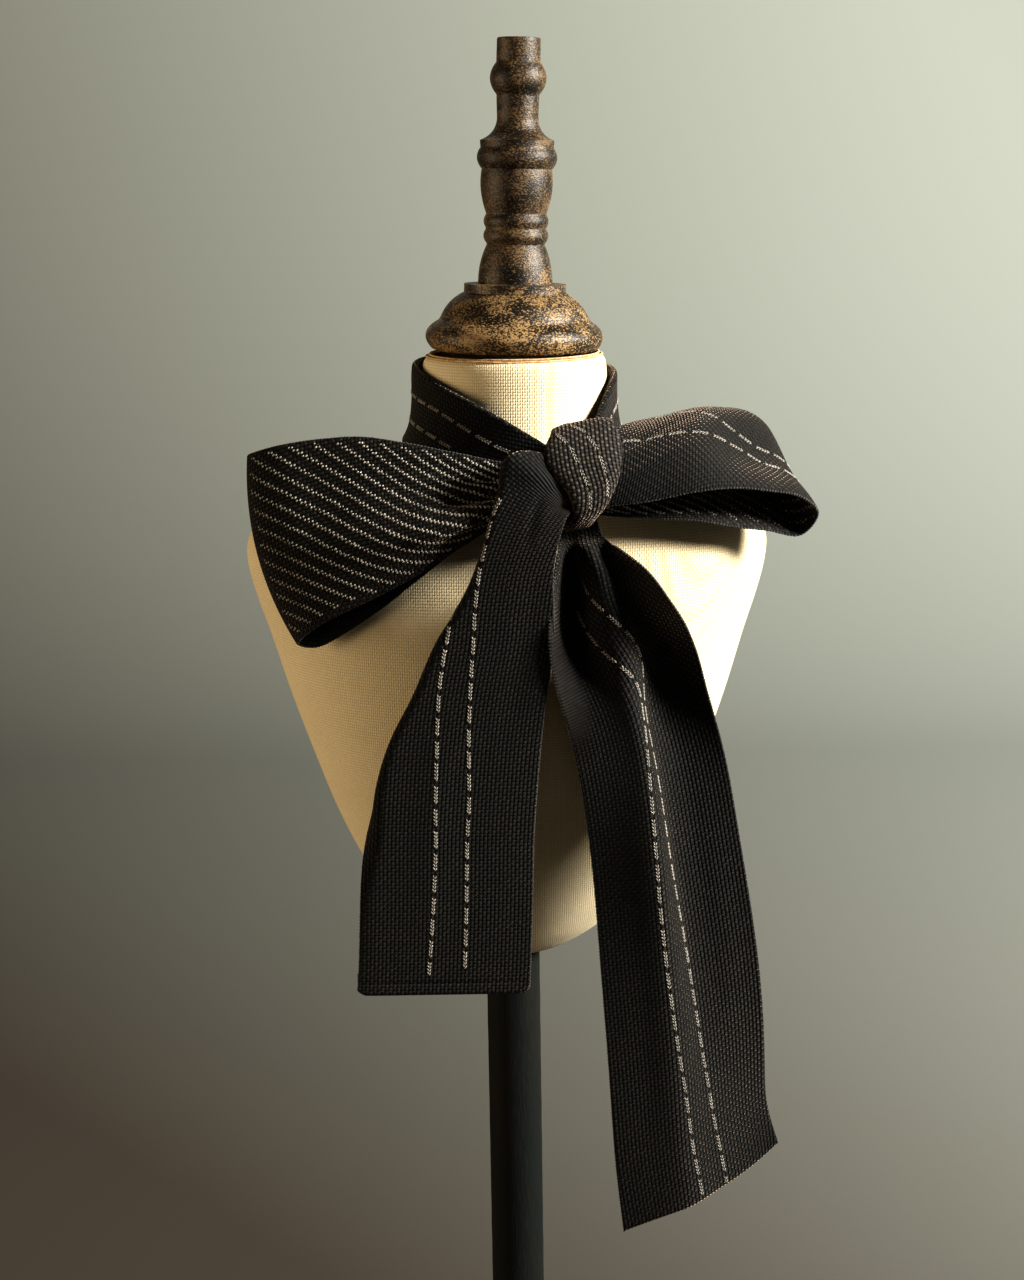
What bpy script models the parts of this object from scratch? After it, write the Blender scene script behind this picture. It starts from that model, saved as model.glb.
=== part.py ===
"""A knit tie in a bow round a small limbless display bust on a turned wooden stand.

Lengths in the tables are millimetres. +Z is up, the bust faces -Y, and the origin is the
centre of the base's underside, on the pole's axis.
"""

import math

import bpy
import numpy as np
from mathutils import Matrix

MM = 0.001

# The form
NECK_TOP = 484.0
POLE_RADIUS = 11.0
SOCKET_DEPTH = 45.0  # how far the pole goes up into the bust
PEG_RADIUS = 6.0  # the peg under the neck cap
PEG_LENGTH = 24.0
PEG_PLAY = 1.2  # round the peg, which leans with the cap
PEG_CLEAR = 4.0  # below the peg
FINIAL_LEAN = 1.7  # degrees, towards +X, as the cap sits on its cloth edge
BASE_FLOOR = 12.0  # wood left under the pole's foot
FIT = 0.3  # the gap at every seam and seat

# How finely the form is modelled
BUST_SIDES = 36
TURNED_SIDES = 24
LONG_ARC = 8.0  # an arc of a turned piece with a longer chord takes more steps
LONG_ARC_STEPS = 4
SHORT_ARC_STEPS = 2
SMOOTH_WOOD = 35.0  # degrees: sharper edges stay crisp
SMOOTH_CLOTH = 60.0

# The tie, one knitted strip
CLOTH = 1.2  # thickness of the knit
TIE_WIDTH = 64.0
HEM = 5.0  # depth of the hem turned up behind the left tail

# The bust, from under its belly up to the neck's rim. A row is one level section.
BUST_COLUMNS = ("height", "centre_x", "half_width", "front", "back", "squareness")
BUST = (
    (240.8, 0.0, 11.6, 11.6, 11.6, 2.0),
    (241.8, 0.0, 17.0, 14.5, 14.0, 2.0),
    (244.3, 0.0, 23.5, 18.5, 16.5, 2.0),
    (248.8, 0.0, 31.5, 23.5, 20.0, 2.0),
    (256.5, 0.0, 41.0, 30.0, 25.0, 2.05),
    (269.0, 0.0, 51.8, 38.0, 31.0, 2.1),
    (285.5, 0.0, 61.8, 46.0, 37.0, 2.15),
    (305.0, 0.0, 70.6, 53.0, 42.0, 2.15),
    (328.0, 0.0, 78.8, 58.5, 46.5, 2.15),
    (352.0, 0.0, 86.8, 61.5, 50.0, 2.15),
    (375.0, 0.0, 93.6, 61.0, 52.0, 2.15),
    (392.0, 0.0, 99.0, 58.0, 52.5, 2.2),
    (404.0, 0.0, 101.8, 55.0, 52.0, 2.25),
    (413.0, 0.2, 101.8, 52.0, 51.0, 2.3),
    (420.0, 0.6, 97.5, 49.0, 49.5, 2.3),
    (427.0, 1.2, 86.0, 46.5, 47.5, 2.2),
    (434.0, 2.0, 68.0, 44.0, 45.5, 2.1),
    (441.0, 2.8, 51.0, 41.5, 43.0, 2.0),
    (448.0, 3.4, 41.5, 39.2, 40.0, 2.0),
    (456.0, 3.8, 37.4, 37.2, 37.2, 2.0),
    (466.0, 4.0, 36.0, 36.0, 36.0, 2.0),
    (477.0, 4.1, 35.8, 35.8, 35.8, 2.0),
    (482.0, 4.2, 34.8, 34.8, 34.8, 2.0),
    (484.0, 4.2, 32.0, 32.0, 32.0, 2.0),
)

# Turned pieces, from the foot up. Each row runs to the next in an arc that stands out by `bulge`,
# or is hollowed by it where it is below nought.
TURNED_COLUMNS = ("height", "radius", "bulge")
FINIAL = (
    (0.0, 30.5, 0.0),
    (0.6, 32.0, 2.9),  # large bead of the neck cap
    (10.4, 30.8, 0.0),
    (11.4, 29.2, 0.0),
    (12.9, 28.4, 1.0),  # sloping shoulder
    (21.6, 20.4, 0.0),
    (22.0, 19.6, 0.0),  # plate
    (25.2, 19.6, 0.0),
    (25.6, 14.3, 0.8),  # bell
    (40.1, 11.1, 0.0),
    (40.6, 11.3, 1.0),  # two narrow rings
    (45.7, 11.6, 0.0),
    (46.4, 11.6, 0.8),
    (51.2, 11.6, 0.0),
    (51.6, 11.5, 1.1),  # vase
    (68.2, 13.4, 0.0),
    (68.6, 13.8, 1.4),  # collar bead and its fillet
    (76.0, 13.9, 0.0),
    (78.7, 14.1, -2.2),  # cove up to the slim neck
    (88.5, 7.9, 0.0),
    (95.4, 8.1, 2.5),  # ball
    (107.2, 8.3, 0.0),
    (115.4, 8.2, 0.3),  # button at the top
    (116.0, 7.4, 0.0),
)
BASE = (
    (0.0, 84.0, 0.0),
    (1.5, 86.5, 1.6),
    (11.0, 86.5, 0.0),
    (12.0, 82.0, -1.6),
    (19.0, 66.0, 0.0),
    (20.0, 63.0, 1.2),
    (27.0, 42.0, 0.0),
    (28.0, 36.0, -4.0),
    (40.0, 19.5, 0.0),
    (41.0, 19.5, 1.4),
    (46.0, 19.0, 0.0),
    (47.0, 16.0, 0.0),
)

# The folded band round the neck. `turn` is the angle round the neck from its front, in degrees
# towards -X, and `forward` is how far the band leaves the bust to meet the back of the knot.
BAND_COLUMNS = ("turn", "top", "bottom", "forward")
BAND = (
    (-20.0, 451.0, 443.0, 9.4),
    (-12.0, 455.0, 442.0, 7.2),
    (0.0, 460.0, 440.5, 4.6),
    (12.0, 464.6, 439.5, 2.4),
    (26.0, 469.2, 440.0, 1.0),
    (47.0, 474.7, 444.0, 0.3),
    (70.0, 478.2, 447.5, 0.0),
    (90.0, 480.0, 449.5, 0.0),
    (120.0, 480.5, 450.0, 0.0),
    (160.0, 479.5, 449.0, 0.0),
    (200.0, 479.0, 448.5, 0.0),
    (240.0, 478.0, 448.0, 0.0),
    (270.0, 476.3, 446.5, 0.0),
    (288.0, 472.5, 444.5, 0.6),
    (300.0, 466.5, 442.0, 2.2),
    (309.0, 460.0, 440.5, 5.0),
    (317.0, 455.0, 440.0, 8.6),
    (325.0, 452.0, 440.0, 12.4),
)
BAND_TURNED_IN = 11.0  # of each margin, folded behind the band
BAND_EASE = 1.4  # air between the bust and the folded margins
MOST_TURNED_IN = 0.42  # of the band's height, so that the margins never meet

# Bow loops. A row is one section across the strip, from its lower selvedge to its upper one, and
# `bow` is how far the middle stands out from the straight line between them.
LOOP_COLUMNS = ("low_x", "low_y", "low_z", "top_x", "top_y", "top_z", "bow", "shelf")
LEFT_LOOP = (
    (20.0, -63.4, 431.0, 20.5, -62.6, 447.0, 0.4, 0.5),
    (8.0, -64.6, 431.5, 9.0, -63.6, 448.3, 0.6, 1.5),
    (-6.0, -65.6, 427.5, -4.0, -64.4, 450.6, 1.2, 3.0),
    (-20.0, -66.0, 418.5, -18.0, -64.0, 453.6, 2.5, 3.5),
    (-35.0, -65.0, 409.0, -34.0, -62.0, 456.8, 4.0, 2.2),
    (-50.0, -63.0, 401.0, -51.0, -58.8, 459.2, 4.6, 1.0),
    (-63.0, -60.5, 394.6, -67.5, -55.4, 459.2, 4.4, 0.5),
    (-72.5, -57.0, 388.6, -83.0, -52.2, 456.9, 4.6, 0.0),
    (-78.5, -51.0, 382.0, -94.8, -46.5, 452.2, 6.4, 0.0),
    (-71.0, -50.5, 380.8, -86.0, -40.5, 451.0, 1.5, 0.0),
    (-60.0, -53.5, 385.5, -67.0, -43.5, 449.5, -1.5, 0.0),
    (-46.0, -57.0, 394.0, -48.0, -49.5, 448.5, -1.0, 0.0),
    (-32.0, -58.8, 404.5, -32.0, -51.5, 447.5, -0.5, 0.0),
    (-16.0, -58.8, 417.0, -16.0, -53.0, 446.5, 0.0, 0.0),
    (0.0, -58.3, 428.0, 0.0, -54.5, 446.0, 0.0, 0.0),
    (20.0, -57.8, 431.0, 20.0, -56.0, 446.0, 0.0, 0.0),
)
RIGHT_LOOP = (
    (24.0, -64.6, 433.0, 24.5, -62.1, 454.8, 0.4, 0.0),
    (37.0, -67.0, 434.8, 40.0, -50.5, 460.0, 4.0, 0.0),
    (52.0, -68.0, 436.6, 53.0, -32.0, 461.0, 9.0, 0.0),
    (70.0, -67.0, 439.8, 70.0, -14.0, 461.0, 12.0, -1.0),
    (84.0, -61.5, 439.8, 82.0, -4.0, 461.0, 8.0, -3.5),
    (97.0, -55.0, 437.5, 88.4, 1.0, 461.0, 3.0, -4.5),
    (109.0, -47.5, 434.0, 92.0, 5.5, 459.0, 0.5, -3.0),
    (116.6, -41.5, 426.5, 93.5, 9.0, 455.0, -1.0, -1.0),
    (110.5, -37.0, 417.8, 90.5, 10.0, 449.0, -3.5, 0.0),
    (98.0, -41.0, 420.5, 84.0, 9.0, 446.5, -5.0, 0.0),
    (86.0, -46.5, 422.8, 75.0, 2.0, 446.0, -5.0, 0.0),
    (70.0, -52.0, 426.5, 64.0, -14.0, 446.5, -3.0, 0.0),
    (54.0, -55.0, 428.0, 53.0, -36.0, 447.0, -1.0, 0.0),
    (39.0, -57.0, 429.5, 39.0, -53.5, 447.0, 0.0, 0.0),
    (24.0, -57.8, 432.0, 24.0, -56.0, 446.5, 0.0, 0.0),
)

# The strip round the knot, as sections across it from its left edge to its right one, going up
# over the front and down behind. `left_roll` and `right_roll` are how far the edges roll in
# towards the knot.
WRAP_COLUMNS = (
    "left_x",
    "left_y",
    "left_z",
    "right_x",
    "right_y",
    "right_z",
    "left_roll",
    "right_roll",
)
WRAP = (
    (17.0, -72.6, 448.5, 41.0, -70.6, 451.5, 1.4, 2.4),
    (14.8, -69.0, 456.0, 41.2, -66.0, 459.0, 1.8, 2.2),
    (17.0, -62.0, 461.0, 38.6, -58.5, 465.6, 1.6, 1.6),
    (18.0, -55.0, 461.5, 37.5, -52.5, 463.0, 1.0, 1.0),
    (18.5, -52.0, 455.5, 37.0, -50.8, 455.5, 0.6, 0.6),
    (18.5, -52.0, 446.0, 36.0, -51.4, 446.0, 0.3, 0.3),
    (19.0, -52.8, 436.5, 35.0, -52.4, 436.5, 0.3, 0.3),
    (19.5, -55.0, 427.5, 33.0, -54.6, 428.0, 0.6, 0.6),
    (20.0, -60.5, 421.5, 31.0, -60.0, 423.0, 1.0, 1.0),
    (22.0, -67.5, 424.5, 33.0, -66.0, 427.0, 1.2, 1.4),
    (24.8, -71.8, 432.0, 36.5, -69.6, 434.5, 1.2, 2.0),
    (23.0, -73.2, 439.5, 39.6, -71.0, 442.5, 1.2, 2.4),
)

# Tails. A row is one section: where its first selvedge is, how steeply the section climbs in
# degrees, and how much of the strip is laid out in it. The cloth's heading across the section is
# in degrees from straight across, turning towards the viewer.
SECTION_COLUMNS = ("x", "y", "z", "climb", "laid")

# The left tail turns in a little along its first selvedge, and its other margin folds under: by
# `fold_turn` degrees, starting `fold_at` from the first selvedge.
LEFT_COLUMNS = SECTION_COLUMNS + ("near_turn", "fold_at", "fold_turn")
NEAR_CURL = 20.0  # how much of the width the near turn takes
FOLD_WIDTH = 9.0  # how much of the width the fold takes
LEAST_MARGIN = 1.5  # left after the fold where it runs into the far selvedge
LEFT_TAIL = (
    (26.5, -66.0, 435.0, 66.0, 29.0, 0, 34.0, 90),
    (22.5, -71.4, 433.0, 48.0, 38.0, 12, 44.0, 150),
    (20.4, -73.2, 429.5, 24.0, 42.0, 10, 35.0, 178),
    (18.2, -73.2, 422.0, 8.0, 48.0, 6, 30.5, 178),
    (16.4, -72.0, 411.0, 0.0, 53.0, 4, 30.3, 178),
    (15.0, -70.8, 397.0, 0.0, 58.0, 3, 33.5, 178),
    (13.8, -69.8, 384.0, 0.0, 61.0, 2, 38.8, 178),
    (10.8, -69.0, 365.0, 0.0, 62.5, 2, 43.0, 176),
    (9.6, -68.2, 347.0, 0.0, 63.5, 2, 50.0, 165),
    (8.8, -67.6, 329.0, 0.0, 64.0, 3, 54.0, 120),
    (8.1, -67.2, 309.0, 0.0, 64.0, 3, 54.3, 60),
    (7.3, -66.8, 284.0, 0.0, 64.0, 3, 57.5, 24),
    (6.3, -66.4, 260.0, 0.0, 64.2, 2, 57.3, 10),
    (5.7, -66.2, 248.2, 0.0, 64.6, 2, 55.0, 5),
)

# The right tail falls in pleats, so its heading is given at stations across the strip, which
# follow the section's columns.
STATIONS = (0.0, 8.0, 16.0, 23.0, 27.0, 35.0, 40.0, 50.0, TIE_WIDTH)
RIGHT_TAIL = (
    (23.0, -50.9, 433.0, 4.0, 21.0, -6, -8, 0, 8, 8, 2, -8, 4, 8),
    (22.0, -52.6, 426.0, 4.0, 22.0, -12, -16, 0, 14, 12, 2, -12, 6, 12),
    (21.0, -58.5, 419.6, 5.0, 24.0, -30, -40, 0, 30, 28, 5, -30, 10, 32),
    (19.8, -65.5, 417.6, 6.0, 30.0, -56, -72, 0, 58, 56, 10, -56, 16, 66),
    (18.3, -68.0, 409.0, 9.0, 42.0, -54, -76, 0, 62, 58, 20, -50, 20, 66),
    (16.8, -70.0, 399.0, 13.0, 52.0, -48, -78, 0, 64, 56, 24, -40, 26, 58),
    (15.8, -71.5, 384.0, 17.0, 60.5, -42, -66, 24, 54, 40, 10, -50, 34, 50),
    (18.0, -70.5, 367.0, 20.0, 63.5, -22, -34, 14, 34, 20, -66, -66, 30, 46),
    (21.9, -69.5, 353.5, 18.0, 64.0, -6, -6, 10, 20, -60, -86, -50, 14, 36),
    (25.2, -68.5, 339.0, 14.0, 64.0, 2, 2, 8, 12, -70, -86, -40, 4, 20),
    (28.0, -68.0, 323.0, 11.0, 64.0, 6, 8, 12, 10, -66, -84, -30, 0, 8),
    (30.7, -67.8, 301.0, 9.0, 64.0, 8, 14, 18, 8, -60, -80, -24, -2, 2),
    (32.6, -67.6, 277.0, 9.0, 64.5, 8, 12, 16, 4, -54, -70, -20, -4, 0),
    (34.4, -67.6, 250.5, 9.0, 65.0, 8, 10, 10, 2, -44, -60, -18, -8, -2),
    (36.3, -67.8, 224.0, 9.0, 65.5, 6, 8, 8, 0, -36, -52, -22, -16, -10),
    (37.8, -68.2, 199.0, 10.0, 66.0, 6, 6, 6, 0, -30, -46, -30, -24, -16),
    (39.3, -68.8, 175.0, 16.0, 66.5, 6, 6, 4, 0, -24, -38, -30, -28, -22),
    (42.2, -69.5, 148.6, 25.5, 70.5, 6, 6, 4, 0, -20, -32, -24, -20, -12),
)
END_SAG = 3.3
END_SKEW = 2.2  # puts the lowest part of the sag nearer to the far corner

# Places across a tail at which its section is worked out
FINE_PLACES = np.linspace(0, TIE_WIDTH, 129)


def clear_scene():
    for obj in list(bpy.data.objects):
        bpy.data.objects.remove(obj, do_unlink=True)


def material(name, colour, roughness):
    made = bpy.data.materials.new(name)
    made.use_nodes = True
    shader = made.node_tree.nodes["Principled BSDF"]
    shader.inputs["Base Color"].default_value = (*colour, 1.0)
    shader.inputs["Roughness"].default_value = roughness
    made.diffuse_color = (*colour, 1.0)
    return made


def add_object(name, points, faces, finish, smooth_angle):
    """An object from points in millimetres, with edges sharper than `smooth_angle` left crisp."""
    mesh = bpy.data.meshes.new(name)
    mesh.from_pydata([tuple(float(v) * MM for v in p) for p in points], [], faces)
    mesh.update()
    mesh.shade_smooth()
    mesh.set_sharp_from_angle(angle=math.radians(smooth_angle))
    mesh.materials.append(finish)
    obj = bpy.data.objects.new(name, mesh)
    bpy.context.scene.collection.objects.link(obj)
    return obj


def named(columns, rows):
    """Each column of a table by its name."""
    values = np.array(rows, float)
    return {name: values[..., k] for k, name in enumerate(columns)}


def spline(rows, count):
    """A smooth curve through the rows of a table, read at `count` even steps."""
    rows = np.array(rows, float)
    place = np.linspace(0, len(rows) - 1, count)
    start = np.minimum(place.astype(int), len(rows) - 2)
    part = (place - start)[:, None]
    padded = np.vstack([2 * rows[0] - rows[1], rows, 2 * rows[-1] - rows[-2]])
    a, b, c, d = (padded[start + k] for k in range(4))
    slope = c - a
    bend = 2 * a - 5 * b + 4 * c - d
    twist = 3 * (b - c) + d - a
    return b + 0.5 * part * (slope + part * (bend + part * twist))


def ring_spline(rows, steps_between):
    """The same for a table whose last row runs on into its first, without the first row again."""
    rows = np.array(rows, float)
    wrapped = np.vstack([rows[-2:], rows, rows[:3]])
    fine = spline(wrapped, (len(wrapped) - 1) * steps_between + 1)
    first = 2 * steps_between
    return fine[first : first + len(rows) * steps_between]


def loft(name, rings, finish):
    """A closed solid through closed rings, capped at both ends."""
    sides = len(rings[0])
    points = [p for ring in rings for p in ring]
    faces = [tuple(range(sides))[::-1]]
    for level in range(len(rings) - 1):
        low = level * sides
        for k in range(sides):
            nxt = (k + 1) % sides
            faces.append((low + k, low + nxt, low + sides + nxt, low + sides + k))
    faces.append(tuple((len(rings) - 1) * sides + k for k in range(sides)))
    return add_object(name, points, faces, finish, SMOOTH_WOOD)


def round_ring(radius, height):
    angles = np.arange(TURNED_SIDES) * 2 * math.pi / TURNED_SIDES
    return [(radius * math.cos(a), radius * math.sin(a), height) for a in angles]


def turned_rings(rows):
    """Rings of a turned piece, with each row's arc up to the next in a few steps."""
    table = named(TURNED_COLUMNS, rows)
    heights, radii, bulges = table["height"], table["radius"], table["bulge"]
    rings = []
    for k in range(len(heights) - 1):
        rise, flare = heights[k + 1] - heights[k], radii[k + 1] - radii[k]
        chord = math.hypot(rise, flare)
        steps = 1
        if bulges[k]:
            steps = LONG_ARC_STEPS if chord > LONG_ARC else SHORT_ARC_STEPS
        for t in np.arange(steps) / steps:
            lift = bulges[k] * 4 * t * (1 - t) / chord
            radius = radii[k] + flare * t + rise * lift
            rings.append(round_ring(radius, heights[k] + rise * t - flare * lift))
    rings.append(round_ring(radii[-1], heights[-1]))
    return rings


# The form


def bust_section(height):
    """The centre, half width, depths and squareness of the bust at one height."""
    table = named(BUST_COLUMNS, BUST)
    return [np.interp(height, table["height"], table[name]) for name in BUST_COLUMNS[1:]]


def bust_point(height, turn):
    """A point of the bust's surface. `turn` is in degrees from the front towards -X."""
    centre_x, half_width, front, back, squareness = bust_section(height)
    across, ahead = math.sin(math.radians(turn)), math.cos(math.radians(turn))
    power = 2 / squareness
    depth = front if ahead > 0 else back
    x = centre_x - half_width * math.copysign(abs(across) ** power, across)
    y = -depth * math.copysign(abs(ahead) ** power, ahead)
    return np.array((x, y, height))


def off_bust(height, turn, distance):
    """A point this far out from the bust's surface, square to it."""
    here = bust_point(height, turn)
    up = bust_point(height + 2, turn) - bust_point(height - 2, turn)
    along = bust_point(height, turn + 2) - bust_point(height, turn - 2)
    normal = np.cross(up, along)
    return here + normal / np.linalg.norm(normal) * distance


def make_bust(finish):
    """The canvas form, with a socket below for the pole and a hole above for the cap's peg."""
    turns = -np.arange(BUST_SIDES) * 360 / BUST_SIDES
    neck_x = bust_section(NECK_TOP)[0]
    bottom = BUST[0][0]

    def level(radius, height, centre_x):
        return [
            (
                centre_x - radius * math.sin(math.radians(t)),
                -radius * math.cos(math.radians(t)),
                height,
            )
            for t in turns
        ]

    socket = POLE_RADIUS + FIT
    hole = PEG_RADIUS + PEG_PLAY
    rings = [level(socket, bottom + SOCKET_DEPTH, 0.0), level(socket, bottom, 0.0)]
    rings += [[bust_point(row[0], t) for t in turns] for row in BUST]
    rings.append(level(hole, NECK_TOP, neck_x))
    rings.append(level(hole, NECK_TOP - PEG_LENGTH - PEG_CLEAR, neck_x))
    loft("bust", rings, finish)


def make_stand(finish):
    """The turned base with its socket, and the pole from there up into the bust."""
    socket = POLE_RADIUS + FIT
    rings = turned_rings(BASE)
    rings += [round_ring(socket, BASE[-1][0]), round_ring(socket, BASE_FLOOR)]
    loft("base", rings, finish)
    pole_foot = BASE_FLOOR + FIT
    pole_top = BUST[0][0] + SOCKET_DEPTH - FIT
    loft("pole", [round_ring(POLE_RADIUS, z) for z in (pole_foot, pole_top)], finish)


def make_finial(finish):
    """The neck cap and finial, one turning, with the peg that goes down into the neck."""
    rings = [round_ring(PEG_RADIUS, -PEG_LENGTH), round_ring(PEG_RADIUS, 0.0)]
    rings += turned_rings(FINIAL)
    obj = loft("finial", rings, finish)
    lean = math.radians(FINIAL_LEAN)
    cap_radius = FINIAL[1][1]
    lift = FIT + cap_radius * math.sin(lean)
    neck_x = bust_section(NECK_TOP)[0]
    place = Matrix.Translation((neck_x * MM, 0, (NECK_TOP + lift) * MM))
    obj.matrix_world = place @ Matrix.Rotation(lean, 4, "Y")


# The tie


def cloth(name, grid, finish, ring=False):
    """A wall of cloth about a middle surface, whose points run along the strip and across it."""
    grid = np.array(grid, float)
    if ring:
        padded = np.concatenate([grid[-1:], grid, grid[:1]])
        along = (padded[2:] - padded[:-2]) / 2
    else:
        along = np.gradient(grid, axis=0)
    across = np.gradient(grid, axis=1)
    normal = np.cross(along, across)
    normal /= np.linalg.norm(normal, axis=2, keepdims=True)
    front, rear = grid + normal * CLOTH / 2, grid - normal * CLOTH / 2
    rows, columns = grid.shape[:2]
    count = rows * columns
    points = np.concatenate([front.reshape(-1, 3), rear.reshape(-1, 3)])

    def index(i, j, back=0):
        return back * count + (i % rows) * columns + j

    faces = []
    for i in range(rows if ring else rows - 1):
        for j in range(columns - 1):
            corners = ((i, j), (i + 1, j), (i + 1, j + 1), (i, j + 1))
            faces.append(tuple(index(*c) for c in corners))
            faces.append(tuple(index(*c, 1) for c in corners[::-1]))
        for j, step in ((0, 1), (columns - 1, -1)):
            ends = (index(i, j), index(i, j, 1), index(i + 1, j, 1), index(i + 1, j))
            faces.append(ends[::step])
    if not ring:
        for i, step in ((0, -1), (rows - 1, 1)):
            for j in range(columns - 1):
                ends = (index(i, j), index(i, j, 1), index(i, j + 1, 1), index(i, j + 1))
                faces.append(ends[::step])
    add_object(name, points, faces, finish, SMOOTH_CLOTH)


def band_section():
    """The C fold, as (distance off the bust, share of the band's height, offset in height)."""
    inner = BAND_EASE + CLOTH / 2
    outer = inner + CLOTH + FIT
    radius, middle = (outer - inner) / 2, (outer + inner) / 2
    quarter_turns = np.radians((45, 90, 135))
    path = [(inner, 0.0, radius + BAND_TURNED_IN), (inner, 0.0, radius)]
    for a in quarter_turns:
        path.append((middle - radius * math.cos(a), 0.0, radius - radius * math.sin(a)))
    for share in np.linspace(0, 1, 6):
        path.append((outer, share, radius * (1 - 2 * share)))
    for a in quarter_turns:
        path.append((middle + radius * math.cos(a), 1.0, radius * math.sin(a) - radius))
    path += [(inner, 1.0, -radius), (inner, 1.0, -radius - BAND_TURNED_IN)]
    return path


def make_neck_band(finish):
    band = named(BAND_COLUMNS, spline(BAND, 30))
    grid = []
    for turn, top, bottom, forward in zip(*(band[name] for name in BAND_COLUMNS)):
        height = top - bottom
        row = []
        for distance, share, offset in band_section():
            reach = min(abs(offset), MOST_TURNED_IN * height)
            z = bottom + share * height + math.copysign(reach, offset)
            row.append(off_bust(z, turn, distance) + (0, -forward, 0))
        grid.append(row)
    cloth("neck_band", grid, finish)


def loop_grid(table, side, sections, columns):
    """Sections from the lower selvedge to the upper one, bowed out and with a soft shelf.

    `side` is 1 for a loop that leaves the knot towards +X and -1 for one towards -X.
    """
    rows = spline(table, sections)
    loop = named(LOOP_COLUMNS, rows)
    low, top = rows[:, 0:3], rows[:, 3:6]
    along = np.gradient((low + top) / 2, axis=0)
    out = side * np.cross(along, top - low)
    out /= np.linalg.norm(out, axis=1, keepdims=True)
    share = np.linspace(0, 1, columns)
    bow = 4 * share * (1 - share)
    shelf = np.sin(2 * math.pi * share) * np.sin(math.pi * share)
    lift = loop["bow"][:, None] * bow + loop["shelf"][:, None] * shelf
    line = low[:, None] + (top - low)[:, None] * share[None, :, None]
    return line + out[:, None] * lift[:, :, None]


def make_wrap(finish):
    rows = ring_spline(WRAP, 2)
    wrap = named(WRAP_COLUMNS, rows)
    left, right = rows[:, 0:3], rows[:, 3:6]
    middle = (left + right).mean(axis=0) / 2
    grid = []
    for start, end, left_roll, right_roll in zip(left, right, wrap["left_roll"], wrap["right_roll"]):
        row = []
        for share in np.linspace(0, 1, 9):
            point = start + (end - start) * share
            inward = (middle - point) * (0, 1, 1)
            roll = left_roll if share < 0.5 else right_roll
            fall = roll * (2 * share - 1) ** 4
            row.append(point + inward / np.linalg.norm(inward) * fall)
        grid.append(row)
    cloth("knot_wrap", grid, finish, ring=True)


def lay_section(row, headings, side, places):
    """Points of one section of a tail at these places across it. `side` is 1 towards +X, else -1.

    `row` starts as SECTION_COLUMNS does, and `headings` are given at FINE_PLACES.
    """
    x, y, z, climb, laid = row[: len(SECTION_COLUMNS)]
    climb = math.radians(climb)
    step = laid / (len(headings) - 1)
    middle = np.radians((headings[1:] + headings[:-1]) / 2)
    across = np.concatenate([[0], np.cumsum(np.cos(middle))]) * step
    ahead = np.concatenate([[0], np.cumsum(np.sin(middle))]) * step
    across = np.interp(places, FINE_PLACES, across)
    ahead = np.interp(places, FINE_PLACES, ahead)
    return np.stack(
        [x + side * across * math.cos(climb), y - ahead, z + across * math.sin(climb)], axis=1
    )


def left_tail_grid(sections):
    """Its columns keep their place in the fold, wherever the fold lies in the section."""
    rows = spline(LEFT_TAIL, sections)
    tail = named(LEFT_COLUMNS, rows)
    turns = zip(tail["near_turn"], tail["fold_at"], tail["fold_turn"])
    grid = []
    for row, (near_turn, fold_at, fold_turn) in zip(rows, turns):
        fold_end = min(fold_at + FOLD_WIDTH, TIE_WIDTH - LEAST_MARGIN)
        near = near_turn * np.clip(1 - FINE_PLACES / NEAR_CURL, 0, 1)
        part = np.clip((FINE_PLACES - fold_at) / FOLD_WIDTH, 0, 1)
        fold = fold_turn * part * part * (3 - 2 * part)
        flat = np.linspace(0, fold_at, 8)
        turning = np.linspace(fold_at, fold_end, 7)
        under = np.linspace(fold_end, TIE_WIDTH, 4)
        places = np.concatenate([flat, turning[1:], under[1:]])
        grid.append(lay_section(row, near - fold, -1, places))
    return np.array(grid)


def right_tail_grid(sections, columns):
    """Its unhemmed end is cut on a slant, and sags below the straight line of its last section."""
    places = np.linspace(0, TIE_WIDTH, columns)
    grid = []
    for row in spline(RIGHT_TAIL, sections):
        headings = np.interp(FINE_PLACES, STATIONS, row[len(SECTION_COLUMNS) :])
        grid.append(lay_section(row, headings, 1, places))
    grid[-1][:, 2] -= END_SAG * np.sin(math.pi * (places / TIE_WIDTH) ** END_SKEW)
    return np.array(grid)


def make_left_tail(finish):
    """The left tail, with its hem turned up behind it."""
    grid = left_tail_grid(25)
    last = grid[-1]
    fold = CLOTH / 2 + FIT
    turned = []
    for a in np.radians((45, 90, 135)):
        turned.append(last + (0, fold * (1 - math.cos(a)), -fold * math.sin(a)))
    for rise in (0.0, HEM):
        turned.append(last + (0, 2 * fold, rise))
    cloth("left_tail", np.concatenate([grid, turned])[:, ::-1], finish)


def main():
    clear_scene()
    canvas = material("canvas", (0.72, 0.62, 0.45), 0.85)
    wood = material("worn_wood", (0.10, 0.065, 0.04), 0.55)
    knit = material("black_knit", (0.022, 0.021, 0.022), 0.9)
    make_bust(canvas)
    make_stand(wood)
    make_finial(wood)
    make_neck_band(knit)
    cloth("left_loop", loop_grid(LEFT_LOOP, -1, 33, 9), knit)
    cloth("right_loop", loop_grid(RIGHT_LOOP, 1, 33, 11), knit)
    make_wrap(knit)
    make_left_tail(knit)
    cloth("right_tail", right_tail_grid(31, 17), knit)


main()
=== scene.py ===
# %% [markdown]
# # A knit tie in a bow on a display bust
# A long knitted strip is folded round the neck of a small canvas torso and tied in a loose bow, and
# its two ends hang down in front. The torso stands on a round wooden pole and a turned foot, under
# a turned cap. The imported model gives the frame: each CAD solid is stood for here by a finer piece
# in the same place. Lengths in the tables are millimetres, as in the part's own source.

import math

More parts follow.
